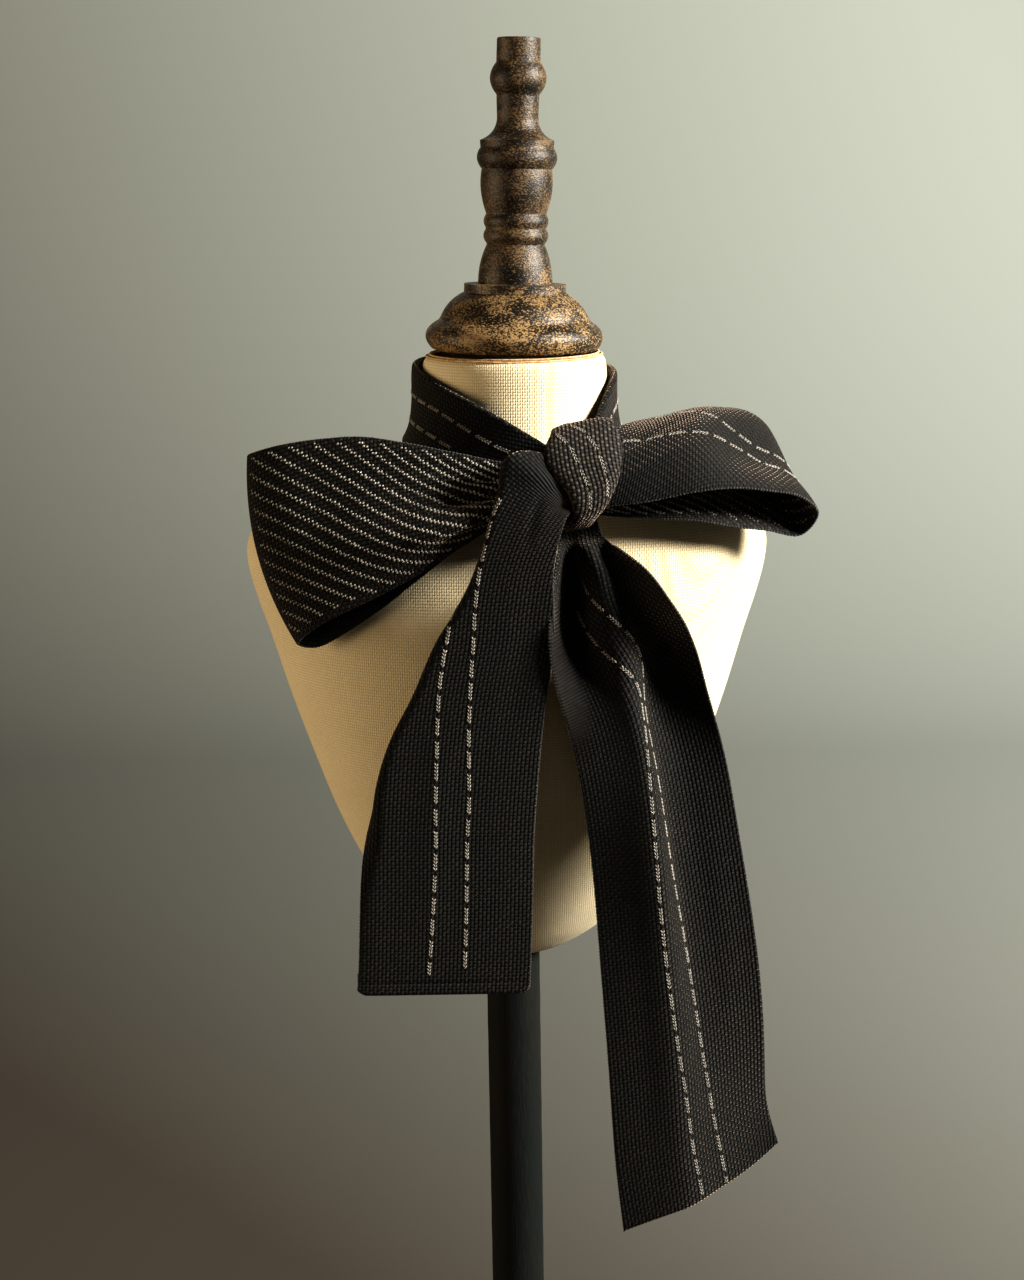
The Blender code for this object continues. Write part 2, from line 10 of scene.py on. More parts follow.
import bpy
import numpy as np
from mathutils import Matrix


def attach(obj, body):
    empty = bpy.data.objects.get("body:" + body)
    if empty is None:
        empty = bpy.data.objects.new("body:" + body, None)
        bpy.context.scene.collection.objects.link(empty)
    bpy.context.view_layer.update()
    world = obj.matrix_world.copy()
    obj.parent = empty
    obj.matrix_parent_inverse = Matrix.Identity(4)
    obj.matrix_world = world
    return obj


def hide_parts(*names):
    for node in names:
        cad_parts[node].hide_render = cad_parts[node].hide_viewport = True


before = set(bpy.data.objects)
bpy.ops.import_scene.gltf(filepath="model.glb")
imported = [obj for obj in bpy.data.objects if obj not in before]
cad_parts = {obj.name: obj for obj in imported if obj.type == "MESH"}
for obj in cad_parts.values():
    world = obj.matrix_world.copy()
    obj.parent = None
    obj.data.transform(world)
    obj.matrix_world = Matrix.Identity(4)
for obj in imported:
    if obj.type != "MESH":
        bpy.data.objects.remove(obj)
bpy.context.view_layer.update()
MM = 0.001
print("CAD nodes:", ", ".join(sorted(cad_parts)))

# %% [markdown]
# ## The camera
# The photograph looks a little down on the bow from the height of the bust's cap. A long lens keeps
# the loops and the bust in the right proportion. Its distance, tilt and roll were worked out from
# the pole, the level rings of the cap and the width of the strip.

# %% Camera
LENS = 56.25
SENSOR = 36.0
LOOK_DOWN = 13.0  # degrees
ROLL = -0.9
CAMERA_PLACE = (0.0016, -0.7795, 0.550)
camera_data = bpy.data.cameras.new("camera")
camera_data.lens = LENS
camera_data.sensor_width = SENSOR
camera_data.clip_start = 0.01
camera = bpy.data.objects.new("camera", camera_data)
bpy.context.scene.collection.objects.link(camera)
camera.matrix_world = (
    Matrix.Translation(CAMERA_PLACE)
    @ Matrix.Rotation(math.radians(90 - LOOK_DOWN), 4, "X")
    @ Matrix.Rotation(math.radians(ROLL), 4, "Z")
)
bpy.context.scene.camera = camera
print("camera at", [round(v, 3) for v in camera.location])

# %% [markdown]
# ## Reading tables as smooth curves
# Every form here is a short table of sections, and a smooth curve runs through its rows. A
# Catmull-Rom spline passes through each row, so a number in a table is a place on the real thing.


# %% Curves through tables
def named(columns, rows):
    """Each column of a table by its name."""
    values = np.array(rows, float)
    return {name: values[..., k] for k, name in enumerate(columns)}


def spline(rows, count):
    """A smooth curve through the rows of a table, read at `count` even steps."""
    rows = np.array(rows, float)
    place = np.linspace(0, len(rows) - 1, count)
    start = np.minimum(place.astype(int), len(rows) - 2)
    part = (place - start)[:, None]
    padded = np.vstack([2 * rows[0] - rows[1], rows, 2 * rows[-1] - rows[-2]])
    a, b, c, d = (padded[start + k] for k in range(4))
    slope = c - a
    bend = 2 * a - 5 * b + 4 * c - d
    twist = 3 * (b - c) + d - a
    return b + 0.5 * part * (slope + part * (bend + part * twist))


def ring_spline(rows, steps_between):
    """The same for a table whose last row runs on into its first."""
    rows = np.array(rows, float)
    wrapped = np.vstack([rows[-2:], rows, rows[:3]])
    fine = spline(wrapped, (len(wrapped) - 1) * steps_between + 1)
    first = 2 * steps_between
    return fine[first : first + len(rows) * steps_between]


def unit(vectors):
    """The same directions, all of length one."""
    return vectors / np.maximum(np.linalg.norm(vectors, axis=-1, keepdims=True), 1e-9)


print("a curve through 3 rows:", spline([[0.0], [1.0], [4.0]], 5).ravel().round(2))

# %% [markdown]
# ## From points to a piece
# Points and faces from plain arrays are quicker than stacking modifiers, and each piece can keep
# a named value at every point, such as how far along the strip of cloth it lies. The materials
# read that value, so that stitches follow the cloth round every fold.


# %% Pieces from points
def add_piece(name, points, faces, materials, face_materials=None, crisp_from=None):
    """A smooth mesh piece from points in millimetres, riding on the one body.

    Edges that turn by more than `crisp_from` degrees, where it is given, are left crisp.
    """
    mesh = bpy.data.meshes.new(name)
    corners = faces.tolist() if isinstance(faces, np.ndarray) else faces
    mesh.from_pydata((np.asarray(points) * MM).tolist(), [], corners)
    for finish in materials:
        mesh.materials.append(finish)
    if face_materials is not None:
        mesh.polygons.foreach_set("material_index", np.asarray(face_materials, np.int32))
    mesh.shade_smooth()
    if crisp_from is not None:
        mesh.set_sharp_from_angle(angle=math.radians(crisp_from))
    mesh.update()
    piece = bpy.data.objects.new(name, mesh)
    bpy.context.scene.collection.objects.link(piece)
    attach(piece, "root")
    return piece


def keep_places(piece, name, values):
    """Stores three numbers at each point of a piece, for its material to read."""
    attribute = piece.data.attributes.new(name, "FLOAT_VECTOR", "POINT")
    attribute.data.foreach_set("vector", np.asarray(values, np.float32).ravel())


def ring_faces(rings, sides, closed=False):
    """Quads between rings of points, each ring closed on itself."""
    k = np.arange(sides)
    nxt = (k + 1) % sides
    faces = []
    for level in range(rings if closed else rings - 1):
        low, high = level * sides, (level + 1) % rings * sides
        faces.append(np.stack([low + k, low + nxt, high + nxt, high + k], axis=1))
    return np.concatenate(faces)


print("two rings of 4 points give", len(ring_faces(2, 4)), "quads")

# %% [markdown]
# ## Small helpers for shader nodes
# A material is a small network of nodes. These helpers make a node, fill its settings and join it
# up in one call, so that each recipe below reads from top to bottom.


# %% Node helpers
def plug(tree, value, socket):
    """Links a socket to another one, or sets its plain value."""
    if isinstance(value, bpy.types.NodeSocket):
        tree.links.new(value, socket)
    else:
        socket.default_value = value


def node(tree, kind, inputs=(), **settings):
    """A shader node with its settings made and its inputs filled or linked."""
    made = tree.nodes.new(kind)
    for name, value in settings.items():
        setattr(made, name, value)
    for key, value in dict(inputs).items():
        plug(tree, value, made.inputs[key])
    return made


def calc(tree, operation, *values, clamp=False):
    """One step of arithmetic on values that vary over the surface."""
    made = node(tree, "ShaderNodeMath", dict(enumerate(values)), operation=operation)
    made.use_clamp = clamp
    return made.outputs[0]


def ramp(tree, value, low, high):
    """0 below `low`, 1 above `high` and a straight run between them."""
    inputs = {"Value": value, "From Min": low, "From Max": high}
    return node(tree, "ShaderNodeMapRange", inputs).outputs[0]


def mix_colours(tree, share, first, second):
    """`first` where `share` is 0 and `second` where it is 1."""
    made = node(tree, "ShaderNodeMix", data_type="RGBA")
    plug(tree, share, made.inputs[0])
    plug(tree, first, made.inputs[6])
    plug(tree, second, made.inputs[7])
    return made.outputs[2]


def square(tree, value):
    """A value times itself."""
    return calc(tree, "POWER", value, 2.0)


print("node helpers are ready")

# %% [markdown]
# ## Groups and materials
# An effect that several materials share is a node group with named sockets, built once. A material
# starts from Blender's all-round shader, and what is the same all over is set on its own sockets.


# %% Group and material helpers
def new_group(name, inputs, outputs):
    """An empty shader node group with named sockets."""
    group = bpy.data.node_groups.new(name, "ShaderNodeTree")
    for label, kind, value in inputs:
        socket = group.interface.new_socket(label, in_out="INPUT", socket_type=kind)
        if value is not None:
            socket.default_value = value
    for label in outputs:
        group.interface.new_socket(label, in_out="OUTPUT", socket_type="NodeSocketFloat")
    return group, group.nodes.new("NodeGroupInput"), group.nodes.new("NodeGroupOutput")


def use_group(tree, group, inputs):
    """One use of a group in a material, with its own values."""
    made = tree.nodes.new("ShaderNodeGroup")
    made.node_tree = group
    for key, value in inputs.items():
        plug(tree, value, made.inputs[key])
    return made


def new_material(name, roughness):
    """A material with its Principled shader, whose even values sit on its own sockets."""
    made = bpy.data.materials.new(name)
    made.use_nodes = True
    shader = made.node_tree.nodes["Principled BSDF"]
    shader.inputs["Roughness"].default_value = roughness
    return made, made.node_tree, shader


print("group and material helpers are ready")

# %% [markdown]
# ## Stitches of the knit
# The face of the cloth is a fine bird's-eye knit: every other stitch stands out as a little bead
# of yarn, like black squares on a chessboard. Modelled one by one they would be some 42,000
# beads, so a node group works them out from the place on the strip, with a random shade for each.
# Where the cloth is rolled tightly its courses open into ribs, which the third number asks for.

# %% Knit stitch group
FLOAT, VECTOR = "NodeSocketFloat", "NodeSocketVector"
ACROSS_FALL, ALONG_FALL = 3.0, 2.0  # how fast a bead falls away: it is longer than it is wide
SUNK_BY = 0.5  # every other stitch stands this much lower
RIB_CROWN, RIB_FALL = 0.72, 3.6
knit_beads, entry, leave = new_group(
    "knit_beads",
    [("Place", VECTOR, None), ("Wale", FLOAT, 1.5), ("Course", FLOAT, 1.34)],
    ("Bead", "Shade"),
)
place = node(knit_beads, "ShaderNodeSeparateXYZ", {0: entry.outputs["Place"]})
column_place = calc(knit_beads, "DIVIDE", place.outputs["Y"], entry.outputs["Wale"])
row_place = calc(knit_beads, "DIVIDE", place.outputs["X"], entry.outputs["Course"])
column = calc(knit_beads, "FLOOR", column_place)
row = calc(knit_beads, "FLOOR", row_place)
cell = node(knit_beads, "ShaderNodeCombineXYZ", {0: column, 1: row})
noise = node(knit_beads, "ShaderNodeTexWhiteNoise", {0: cell.outputs[0]}, noise_dimensions="2D")
from_column = calc(knit_beads, "SUBTRACT", calc(knit_beads, "FRACT", column_place), 0.5)
from_row = calc(knit_beads, "SUBTRACT", calc(knit_beads, "FRACT", row_place), 0.5)
across_fall = calc(knit_beads, "MULTIPLY", square(knit_beads, from_column), ACROSS_FALL)
along_fall = calc(knit_beads, "MULTIPLY", square(knit_beads, from_row), ALONG_FALL)
bead = calc(knit_beads, "SUBTRACT", 1.0, calc(knit_beads, "ADD", across_fall, along_fall), clamp=True)
sunk = calc(knit_beads, "FLOORED_MODULO", calc(knit_beads, "ADD", column, row), 2.0)
standing = calc(knit_beads, "MULTIPLY_ADD", sunk, -SUNK_BY, 1.0)
height = calc(knit_beads, "MULTIPLY", bead, standing)
rib = calc(knit_beads, "MULTIPLY_ADD", square(knit_beads, from_row), -RIB_FALL, RIB_CROWN)
rib = calc(knit_beads, "MAXIMUM", rib, 0.0)
stitch = node(knit_beads, "ShaderNodeMix", {0: place.outputs["Z"], 2: height, 3: rib})
knit_beads.links.new(stitch.outputs[0], leave.inputs["Bead"])
knit_beads.links.new(noise.outputs["Value"], leave.inputs["Shade"])
print("knit group:", len(knit_beads.nodes), "nodes")

# %% [markdown]
# ## The black knit
# The yarn is near black with a soft brown-grey bloom where light grazes it. Each bead's crown is
# given a lighter colour as a painted highlight, stronger or weaker at random and in broad patches.
# The face, the reverse and the stretch pulled taut round the knot use the same recipe with their own
# values, and the stretch round the knot is a lighter copy: painted light.


# %% Black knit materials
WALE, COURSE = 1.5, 1.34  # the spacing of the stitches across and along the strip
STITCH_RELIEF = 0.0006


def knit_material(name, dark, crown_highlight):
    """Black yarn in staggered stitches, as small bumps and as flecks of painted highlight on their
    crowns.
    """
    made, tree, shader = new_material(name, 0.72)
    places = node(tree, "ShaderNodeAttribute", attribute_name="cloth_mm")
    inputs = {"Place": places.outputs["Vector"], "Wale": WALE, "Course": COURSE}
    stitches = use_group(tree, knit_beads, inputs)
    patches = node(tree, "ShaderNodeTexNoise", {"Vector": places.outputs["Vector"], "Scale": 0.09})
    patch = ramp(tree, patches.outputs[0], 0.3, 0.7)
    # Painted highlight: the crown of each bead takes the lighter colour, stronger or weaker at random.
    crown_highlights = ramp(tree, stitches.outputs["Bead"], 0.2, 0.85)
    strength = calc(tree, "MULTIPLY_ADD", stitches.outputs["Shade"], 0.6, 0.45)
    strength = calc(tree, "MULTIPLY", strength, calc(tree, "MULTIPLY_ADD", patch, 0.3, 0.8))
    painted_highlight = calc(tree, "MULTIPLY", crown_highlights, strength, clamp=True)
    plug(tree, mix_colours(tree, painted_highlight, dark, crown_highlight), shader.inputs["Base Color"])
    bump = node(tree, "ShaderNodeBump", {"Height": stitches.outputs["Bead"], "Distance": STITCH_RELIEF})
    plug(tree, bump.outputs[0], shader.inputs["Normal"])
    shader.inputs["Sheen Weight"].default_value = 0.45
    shader.inputs["Sheen Roughness"].default_value = 0.28
    shader.inputs["Sheen Tint"].default_value = (0.78, 0.60, 0.48, 1.0)
    shader.inputs["Specular IOR Level"].default_value = 0.08
    return made


DEEP_BLACK = (0.0042, 0.0060, 0.0062, 1)
knit_face = knit_material("black_knit_face", DEEP_BLACK, (0.024, 0.0205, 0.0185, 1))
knit_reverse = knit_material("black_knit_reverse", DEEP_BLACK, (0.046, 0.038, 0.034, 1))
# A lighter copy of the knit for the wrap round the knot: painted light.
knit_painted_lit = knit_material("black_knit_painted_lit", (0.0050, 0.0060, 0.0060, 1), (0.110, 0.093, 0.081, 1))
print("knit materials:", knit_face.name, knit_reverse.name, knit_painted_lit.name)

# %% [markdown]
# ## Single yarns
# The pale dashes, the pale dots on the reverse and the black chain along the edges are modelled as
# real small beads, so they only need the look of spun yarn: a fine twist and uneven tone.


# %% Yarn materials
def yarn_material(name, dark, light, twist_scale):
    """Spun yarn with fine uneven tone."""
    made, tree, shader = new_material(name, 0.8)
    where = node(tree, "ShaderNodeTexCoord")
    inputs = {"Vector": where.outputs["Object"], "Scale": twist_scale, "Detail": 3.0}
    fibres = node(tree, "ShaderNodeTexNoise", inputs)
    tone = ramp(tree, fibres.outputs[0], 0.32, 0.68)
    plug(tree, mix_colours(tree, tone, dark, light), shader.inputs["Base Color"])
    bump = node(tree, "ShaderNodeBump", {"Height": fibres.outputs[0], "Distance": 0.0001})
    plug(tree, bump.outputs[0], shader.inputs["Normal"])
    shader.inputs["Sheen Weight"].default_value = 0.2
    return made


dash_yarn = yarn_material("pale_dash_yarn", (0.12, 0.105, 0.09, 1), (0.42, 0.39, 0.34, 1), 1500.0)
dot_yarn = yarn_material("pale_dot_yarn", (0.18, 0.16, 0.13, 1), (0.52, 0.49, 0.44, 1), 1300.0)
edge_yarn = yarn_material("black_edge_yarn", (0.004, 0.006, 0.0065, 1), (0.05, 0.045, 0.041, 1), 1200.0)
print("yarns:", dash_yarn.name, dot_yarn.name, edge_yarn.name)

# %% [markdown]
# ## The plain weave
# The torso is covered in natural canvas, a plain weave: threads go over and under each other in
# turn. The group gives a raised dome where a thread passes over, which runs one way or the other
# like the squares of a chessboard, and a random shade for each crossing.

# %% Plain weave group
plain_weave, entry, leave = new_group(
    "plain_weave",
    [("Place", VECTOR, None), ("Warp", FLOAT, 0.9), ("Weft", FLOAT, 1.15)],
    ("Height", "Shade"),
)
place = node(plain_weave, "ShaderNodeSeparateXYZ", {0: entry.outputs["Place"]})
turns = []
for axis, pitch in (("X", "Warp"), ("Y", "Weft")):
    count = calc(plain_weave, "DIVIDE", place.outputs[axis], entry.outputs[pitch])
    through = calc(plain_weave, "MULTIPLY", calc(plain_weave, "FRACT", count), math.pi)
    swell = calc(plain_weave, "SINE", through)
    turns.append((calc(plain_weave, "FLOOR", count), swell))
(warp, warp_swell), (weft, weft_swell) = turns
over = calc(plain_weave, "FLOORED_MODULO", calc(plain_weave, "ADD", warp, weft), 2.0)
beside_weft = calc(plain_weave, "MULTIPLY_ADD", weft_swell, 0.5, 0.5)
beside_warp = calc(plain_weave, "MULTIPLY_ADD", warp_swell, 0.5, 0.5)
warp_top = calc(plain_weave, "MULTIPLY", warp_swell, beside_weft)
weft_top = calc(plain_weave, "MULTIPLY", weft_swell, beside_warp)
both = node(plain_weave, "ShaderNodeMix", {0: over, 2: warp_top, 3: weft_top})
plain_weave.links.new(both.outputs[0], leave.inputs["Height"])
cell = node(plain_weave, "ShaderNodeCombineXYZ", {0: warp, 1: weft})
noise = node(plain_weave, "ShaderNodeTexWhiteNoise", {0: cell.outputs[0]}, noise_dimensions="2D")
plain_weave.links.new(noise.outputs["Value"], leave.inputs["Shade"])
print("weave group:", len(plain_weave.nodes), "nodes")

# %% [markdown]
# ## Canvas
# The canvas is cream with painted shade in the gaps between its threads, and it has picked up
# faint stains.
# A picture of cloth could be laid over the torso, but threads worked out from the place on the
# cloth stay sharp from close by and follow every curve.


# %% Canvas material
WARP_PITCH, WEFT_PITCH = 0.9, 1.15
THREAD_RELIEF = 0.00017


def canvas_material(name, thread, gap, stain):
    """Natural canvas with painted shade in the gaps between its threads and faint broad stains."""
    made, tree, shader = new_material(name, 0.9)
    places = node(tree, "ShaderNodeAttribute", attribute_name="cloth_mm")
    inputs = {"Place": places.outputs["Vector"], "Warp": WARP_PITCH, "Weft": WEFT_PITCH}
    weave = use_group(tree, plain_weave, inputs)
    where = node(tree, "ShaderNodeTexCoord")
    inputs = {"Vector": where.outputs["Object"], "Scale": 14.0, "Detail": 5.0}
    stains = node(tree, "ShaderNodeTexNoise", inputs)
    # Painted shade: low parts of the weave take the darker gap colour, which also darkens each crossing
    # a little at random.
    lit = ramp(tree, weave.outputs["Height"], 0.0, 0.55)
    colour = mix_colours(tree, lit, gap, thread)
    uneven = calc(tree, "MULTIPLY", weave.outputs["Shade"], 0.22)
    colour = mix_colours(tree, uneven, colour, gap)
    stained = calc(tree, "MULTIPLY", ramp(tree, stains.outputs[0], 0.5, 0.8), 0.35)
    plug(tree, mix_colours(tree, stained, colour, stain), shader.inputs["Base Color"])
    bump = node(tree, "ShaderNodeBump", {"Height": weave.outputs["Height"], "Distance": THREAD_RELIEF})
    plug(tree, bump.outputs[0], shader.inputs["Normal"])
    shader.inputs["Sheen Weight"].default_value = 0.1
    return made


canvas = canvas_material(
    "natural_canvas", (0.82, 0.71, 0.48, 1), (0.56, 0.42, 0.22, 1), (0.56, 0.43, 0.24, 1)
)
print("canvas threads", WARP_PITCH, "and", WEFT_PITCH, "mm apart")

# %% [markdown]
# ## Worn wood
# The cap and pole are dark turned wood whose finish has broken up into golden specks, most on the
# cap. One group gives a speck mask and a slow grain, and each piece of wood sets how much of it
# shows. The pole hardly has any, and its grain runs up it.

# %% Worn wood group
worn_grain, entry, leave = new_group(
    "worn_grain",
    [("Place", VECTOR, None), ("Speck Scale", FLOAT, 1100.0), ("Grain Scale", FLOAT, 90.0)],
    ("Specks", "Grain", "Height"),
)
inputs = {"Vector": entry.outputs["Place"], "Scale": entry.outputs["Speck Scale"]}
fine = node(worn_grain, "ShaderNodeTexNoise", {**inputs, "Detail": 3.0, "Roughness": 0.6})
inputs = {"Vector": entry.outputs["Place"], "Scale": entry.outputs["Grain Scale"]}
broad = node(worn_grain, "ShaderNodeTexNoise", {**inputs, "Detail": 4.0})
drift = calc(worn_grain, "MULTIPLY_ADD", broad.outputs[0], 0.5, -0.25)
specks = ramp(worn_grain, calc(worn_grain, "ADD", fine.outputs[0], drift), 0.49, 0.60)
worn_grain.links.new(specks, leave.inputs["Specks"])
worn_grain.links.new(ramp(worn_grain, broad.outputs[0], 0.3, 0.7), leave.inputs["Grain"])
worn_grain.links.new(fine.outputs[0], leave.inputs["Height"])
print("worn wood group:", len(worn_grain.nodes), "nodes")

# %% [markdown]
# ## Two worn woods
# The dark finish of the cap has worn through in many golden specks, and the pole is matt, nearly
# black and hardly specked. Both come from one function that places the worn wood group. The specks
# grow fewer above a given height, so that the finial's slim top is darker.


# %% Wood materials
WOOD_RELIEF = 0.00025
FADE_HEIGHT = 0.04


def wood_material(name, dark, brown, speck, speck_share, stretch, roughness, gloss, fewer_specks_above):
    """Dark wood with golden specks, fewer above a height in metres. `stretch` draws them out."""
    made, tree, shader = new_material(name, roughness)
    where = node(tree, "ShaderNodeTexCoord")
    mapped = node(tree, "ShaderNodeMapping", {"Vector": where.outputs["Object"], "Scale": stretch})
    grain = use_group(tree, worn_grain, {"Place": mapped.outputs[0]})
    colour = mix_colours(tree, grain.outputs["Grain"], dark, brown)
    height = node(tree, "ShaderNodeSeparateXYZ", {0: where.outputs["Object"]}).outputs["Z"]
    # Fewer specks above the given height, so the finial's top is darker.
    worn = ramp(tree, height, fewer_specks_above, fewer_specks_above - FADE_HEIGHT)
    worn = calc(tree, "MULTIPLY_ADD", worn, speck_share * 0.7, speck_share * 0.3)
    amount = calc(tree, "MULTIPLY", grain.outputs["Specks"], worn)
    plug(tree, mix_colours(tree, amount, colour, speck), shader.inputs["Base Color"])
    bump = node(tree, "ShaderNodeBump", {"Height": grain.outputs["Height"], "Distance": WOOD_RELIEF})
    plug(tree, bump.outputs[0], shader.inputs["Normal"])
    shader.inputs["Specular IOR Level"].default_value = gloss
    return made


cap_wood = wood_material(
    "worn_cap_wood", (0.006, 0.005, 0.004, 1), (0.036, 0.022, 0.013, 1), (0.42, 0.27, 0.12, 1),
    0.9, (1.0, 1.0, 1.5), 0.42, 0.32, 0.525,
)
pole_wood = wood_material(
    "worn_pole_wood", (0.0060, 0.0085, 0.0080, 1), (0.009, 0.0095, 0.0085, 1), (0.02, 0.014, 0.009, 1),
    0.25, (1.0, 1.0, 0.12), 0.7, 0.1, 0.30,
)
print("woods:", cap_wood.name, pole_wood.name)

# %% [markdown]
# ## The torso
# A limbless display torso: a flared neck, wide shoulders cut off short, and a belly that tapers to
# the pole. Each row of the table is one level section, a rounded rectangle whose squareness grows
# at the chest. Its threads run level and upright, measured from the front, as the cover was laid.

# %% Torso
BUST_COLUMNS = ("height", "centre_x", "half_width", "front", "back", "squareness")
BUST = (
    (240.8, 0.0, 11.6, 11.6, 11.6, 2.0),
    (241.8, 0.0, 17.0, 14.5, 14.0, 2.0),
    (244.3, 0.0, 23.5, 18.5, 16.5, 2.0),
    (248.8, 0.0, 31.5, 23.5, 20.0, 2.0),
    (256.5, 0.0, 41.0, 30.0, 25.0, 2.05),
    (269.0, 0.0, 51.8, 38.0, 31.0, 2.1),
    (285.5, 0.0, 61.8, 46.0, 37.0, 2.15),
    (305.0, 0.0, 70.6, 53.0, 42.0, 2.15),
    (328.0, 0.0, 78.8, 58.5, 46.5, 2.15),
    (352.0, 0.0, 86.8, 61.5, 50.0, 2.15),
    (375.0, 0.0, 93.6, 61.0, 52.0, 2.15),
    (392.0, 0.0, 99.0, 58.0, 52.5, 2.2),
    (404.0, 0.0, 101.8, 55.0, 52.0, 2.25),
    (413.0, 0.2, 101.8, 52.0, 51.0, 2.3),
    (420.0, 0.6, 97.5, 49.0, 49.5, 2.3),
    (427.0, 1.2, 86.0, 46.5, 47.5, 2.2),
    (434.0, 2.0, 68.0, 44.0, 45.5, 2.1),
    (441.0, 2.8, 51.0, 41.5, 43.0, 2.0),
    (448.0, 3.4, 41.5, 39.2, 40.0, 2.0),
    (456.0, 3.8, 37.4, 37.2, 37.2, 2.0),
    (466.0, 4.0, 36.0, 36.0, 36.0, 2.0),
    (477.0, 4.1, 35.8, 35.8, 35.8, 2.0),
    (482.0, 4.2, 34.8, 34.8, 34.8, 2.0),
    (484.0, 4.2, 32.0, 32.0, 32.0, 2.0),
)
BUST_RINGS = 208
BUST_FINE = named(BUST_COLUMNS, spline(BUST, BUST_RINGS))
NECK_TOP = 484.0
NECK_X = 4.2


def bust_point(height, turn):
    """A point of the torso. `turn` is in degrees from the front towards -X."""
    sizes = [np.interp(height, BUST_FINE["height"], BUST_FINE[name]) for name in BUST_COLUMNS[1:]]
    centre_x, half_width, front, back, squareness = sizes
    across, ahead = np.sin(np.radians(turn)), np.cos(np.radians(turn))
    power = 2 / squareness
    depth = np.where(ahead > 0, front, back)
    x = centre_x - half_width * np.copysign(np.abs(across) ** power, across)
    y = -depth * np.copysign(np.abs(ahead) ** power, ahead)
    return np.stack(np.broadcast_arrays(x, y, height), axis=-1)


def make_bust(sides=216):
    """Level rings of points, and for each point how far round from the front and up it lies."""
    turns = np.linspace(180, -180, sides + 1)
    rings = np.array([bust_point(height, turns) for height in BUST_FINE["height"]])
    around = np.cumsum(np.linalg.norm(np.diff(rings, axis=1, prepend=rings[:, :1]), axis=2), axis=1)
    around -= around[:, sides // 2][:, None]
    middle = rings[:, sides // 2]
    up = np.cumsum(np.linalg.norm(np.diff(middle, axis=0, prepend=middle[:1]), axis=1))
    places = np.stack([around, np.broadcast_to(up[:, None], around.shape), 0 * around], axis=-1)
    k = np.arange(sides)
    faces = []
    for level in range(len(rings) - 1):
        low, high = level * (sides + 1), (level + 1) * (sides + 1)
        faces.append(np.stack([low + k, low + k + 1, high + k + 1, high + k], axis=1))
    piece = add_piece("canvas_torso", rings.reshape(-1, 3), np.concatenate(faces), [canvas])
    keep_places(piece, "cloth_mm", places.reshape(-1, 3))
    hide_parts("bust")
    return piece


torso = make_bust()
print("torso:", len(torso.data.polygons), "faces")

# %% [markdown]
# ## Turned wood
# A lathe piece is one profile spun round its axis. Each row of a table is a corner of the profile,
# and `bulge` makes the run to the next row stand out as a bead or sink in as a cove. A little
# seeded unevenness round each ring keeps old wood from looking machined.

# %% Turned pieces
TURNED_COLUMNS = ("height", "radius", "bulge")
FINIAL = (
    (0.0, 30.5, 0.0),
    (0.6, 32.0, 2.9),  # large bead of the neck cap
    (10.4, 30.8, 0.0),
    (11.4, 29.2, 0.0),
    (12.9, 28.4, 1.0),  # sloping shoulder
    (21.6, 20.4, 0.0),
    (22.0, 19.6, 0.0),  # plate
    (25.2, 19.6, 0.0),
    (25.6, 14.3, 0.8),  # bell
    (40.1, 11.1, 0.0),
    (40.6, 11.3, 1.0),  # two narrow rings
    (45.7, 11.6, 0.0),
    (46.4, 11.6, 0.8),
    (51.2, 11.6, 0.0),
    (51.6, 11.5, 1.1),  # vase
    (68.2, 13.4, 0.0),
    (68.6, 13.8, 1.4),  # collar bead and its fillet
    (76.0, 13.9, 0.0),
    (78.7, 14.1, -2.2),  # cove up to the slim neck
    (88.5, 7.9, 0.0),
    (95.4, 8.1, 2.5),  # ball
    (107.2, 8.3, 0.0),
    (115.4, 8.2, 0.3),  # button at the top
    (116.0, 7.4, 0.0),
)
BASE = (
    (0.0, 84.0, 0.0),
    (1.5, 86.5, 1.6),
    (11.0, 86.5, 0.0),
    (12.0, 82.0, -1.6),
    (19.0, 66.0, 0.0),
    (20.0, 63.0, 1.2),
    (27.0, 42.0, 0.0),
    (28.0, 36.0, -4.0),
    (40.0, 19.5, 0.0),
    (41.0, 19.5, 1.4),
    (46.0, 19.0, 0.0),
    (47.0, 11.3, 0.0),
)
POLE_RADIUS = 11.0
POLE_FOOT, POLE_TOP = 12.3, 285.5
POLE_RINGS = 60
PROFILE_STEP = 0.8
SHARP_TURN = 40.0  # degrees


def profile_of(rows):
    """(radius, height) pairs up a turned profile, with its arcs in short steps."""
    table = named(TURNED_COLUMNS, rows)
    heights, radii, bulges = table["height"], table["radius"], table["bulge"]
    found = []
    for k in range(len(heights) - 1):
        rise, flare = heights[k + 1] - heights[k], radii[k + 1] - radii[k]
        chord = math.hypot(rise, flare)
        steps = max(2, math.ceil(chord / PROFILE_STEP))
        for t in np.arange(steps) / steps:
            lift = bulges[k] * 4 * t * (1 - t) / chord
            found.append((radii[k] + flare * t + rise * lift, heights[k] + rise * t - flare * lift))
    found.append((radii[-1], heights[-1]))
    return np.array(found)


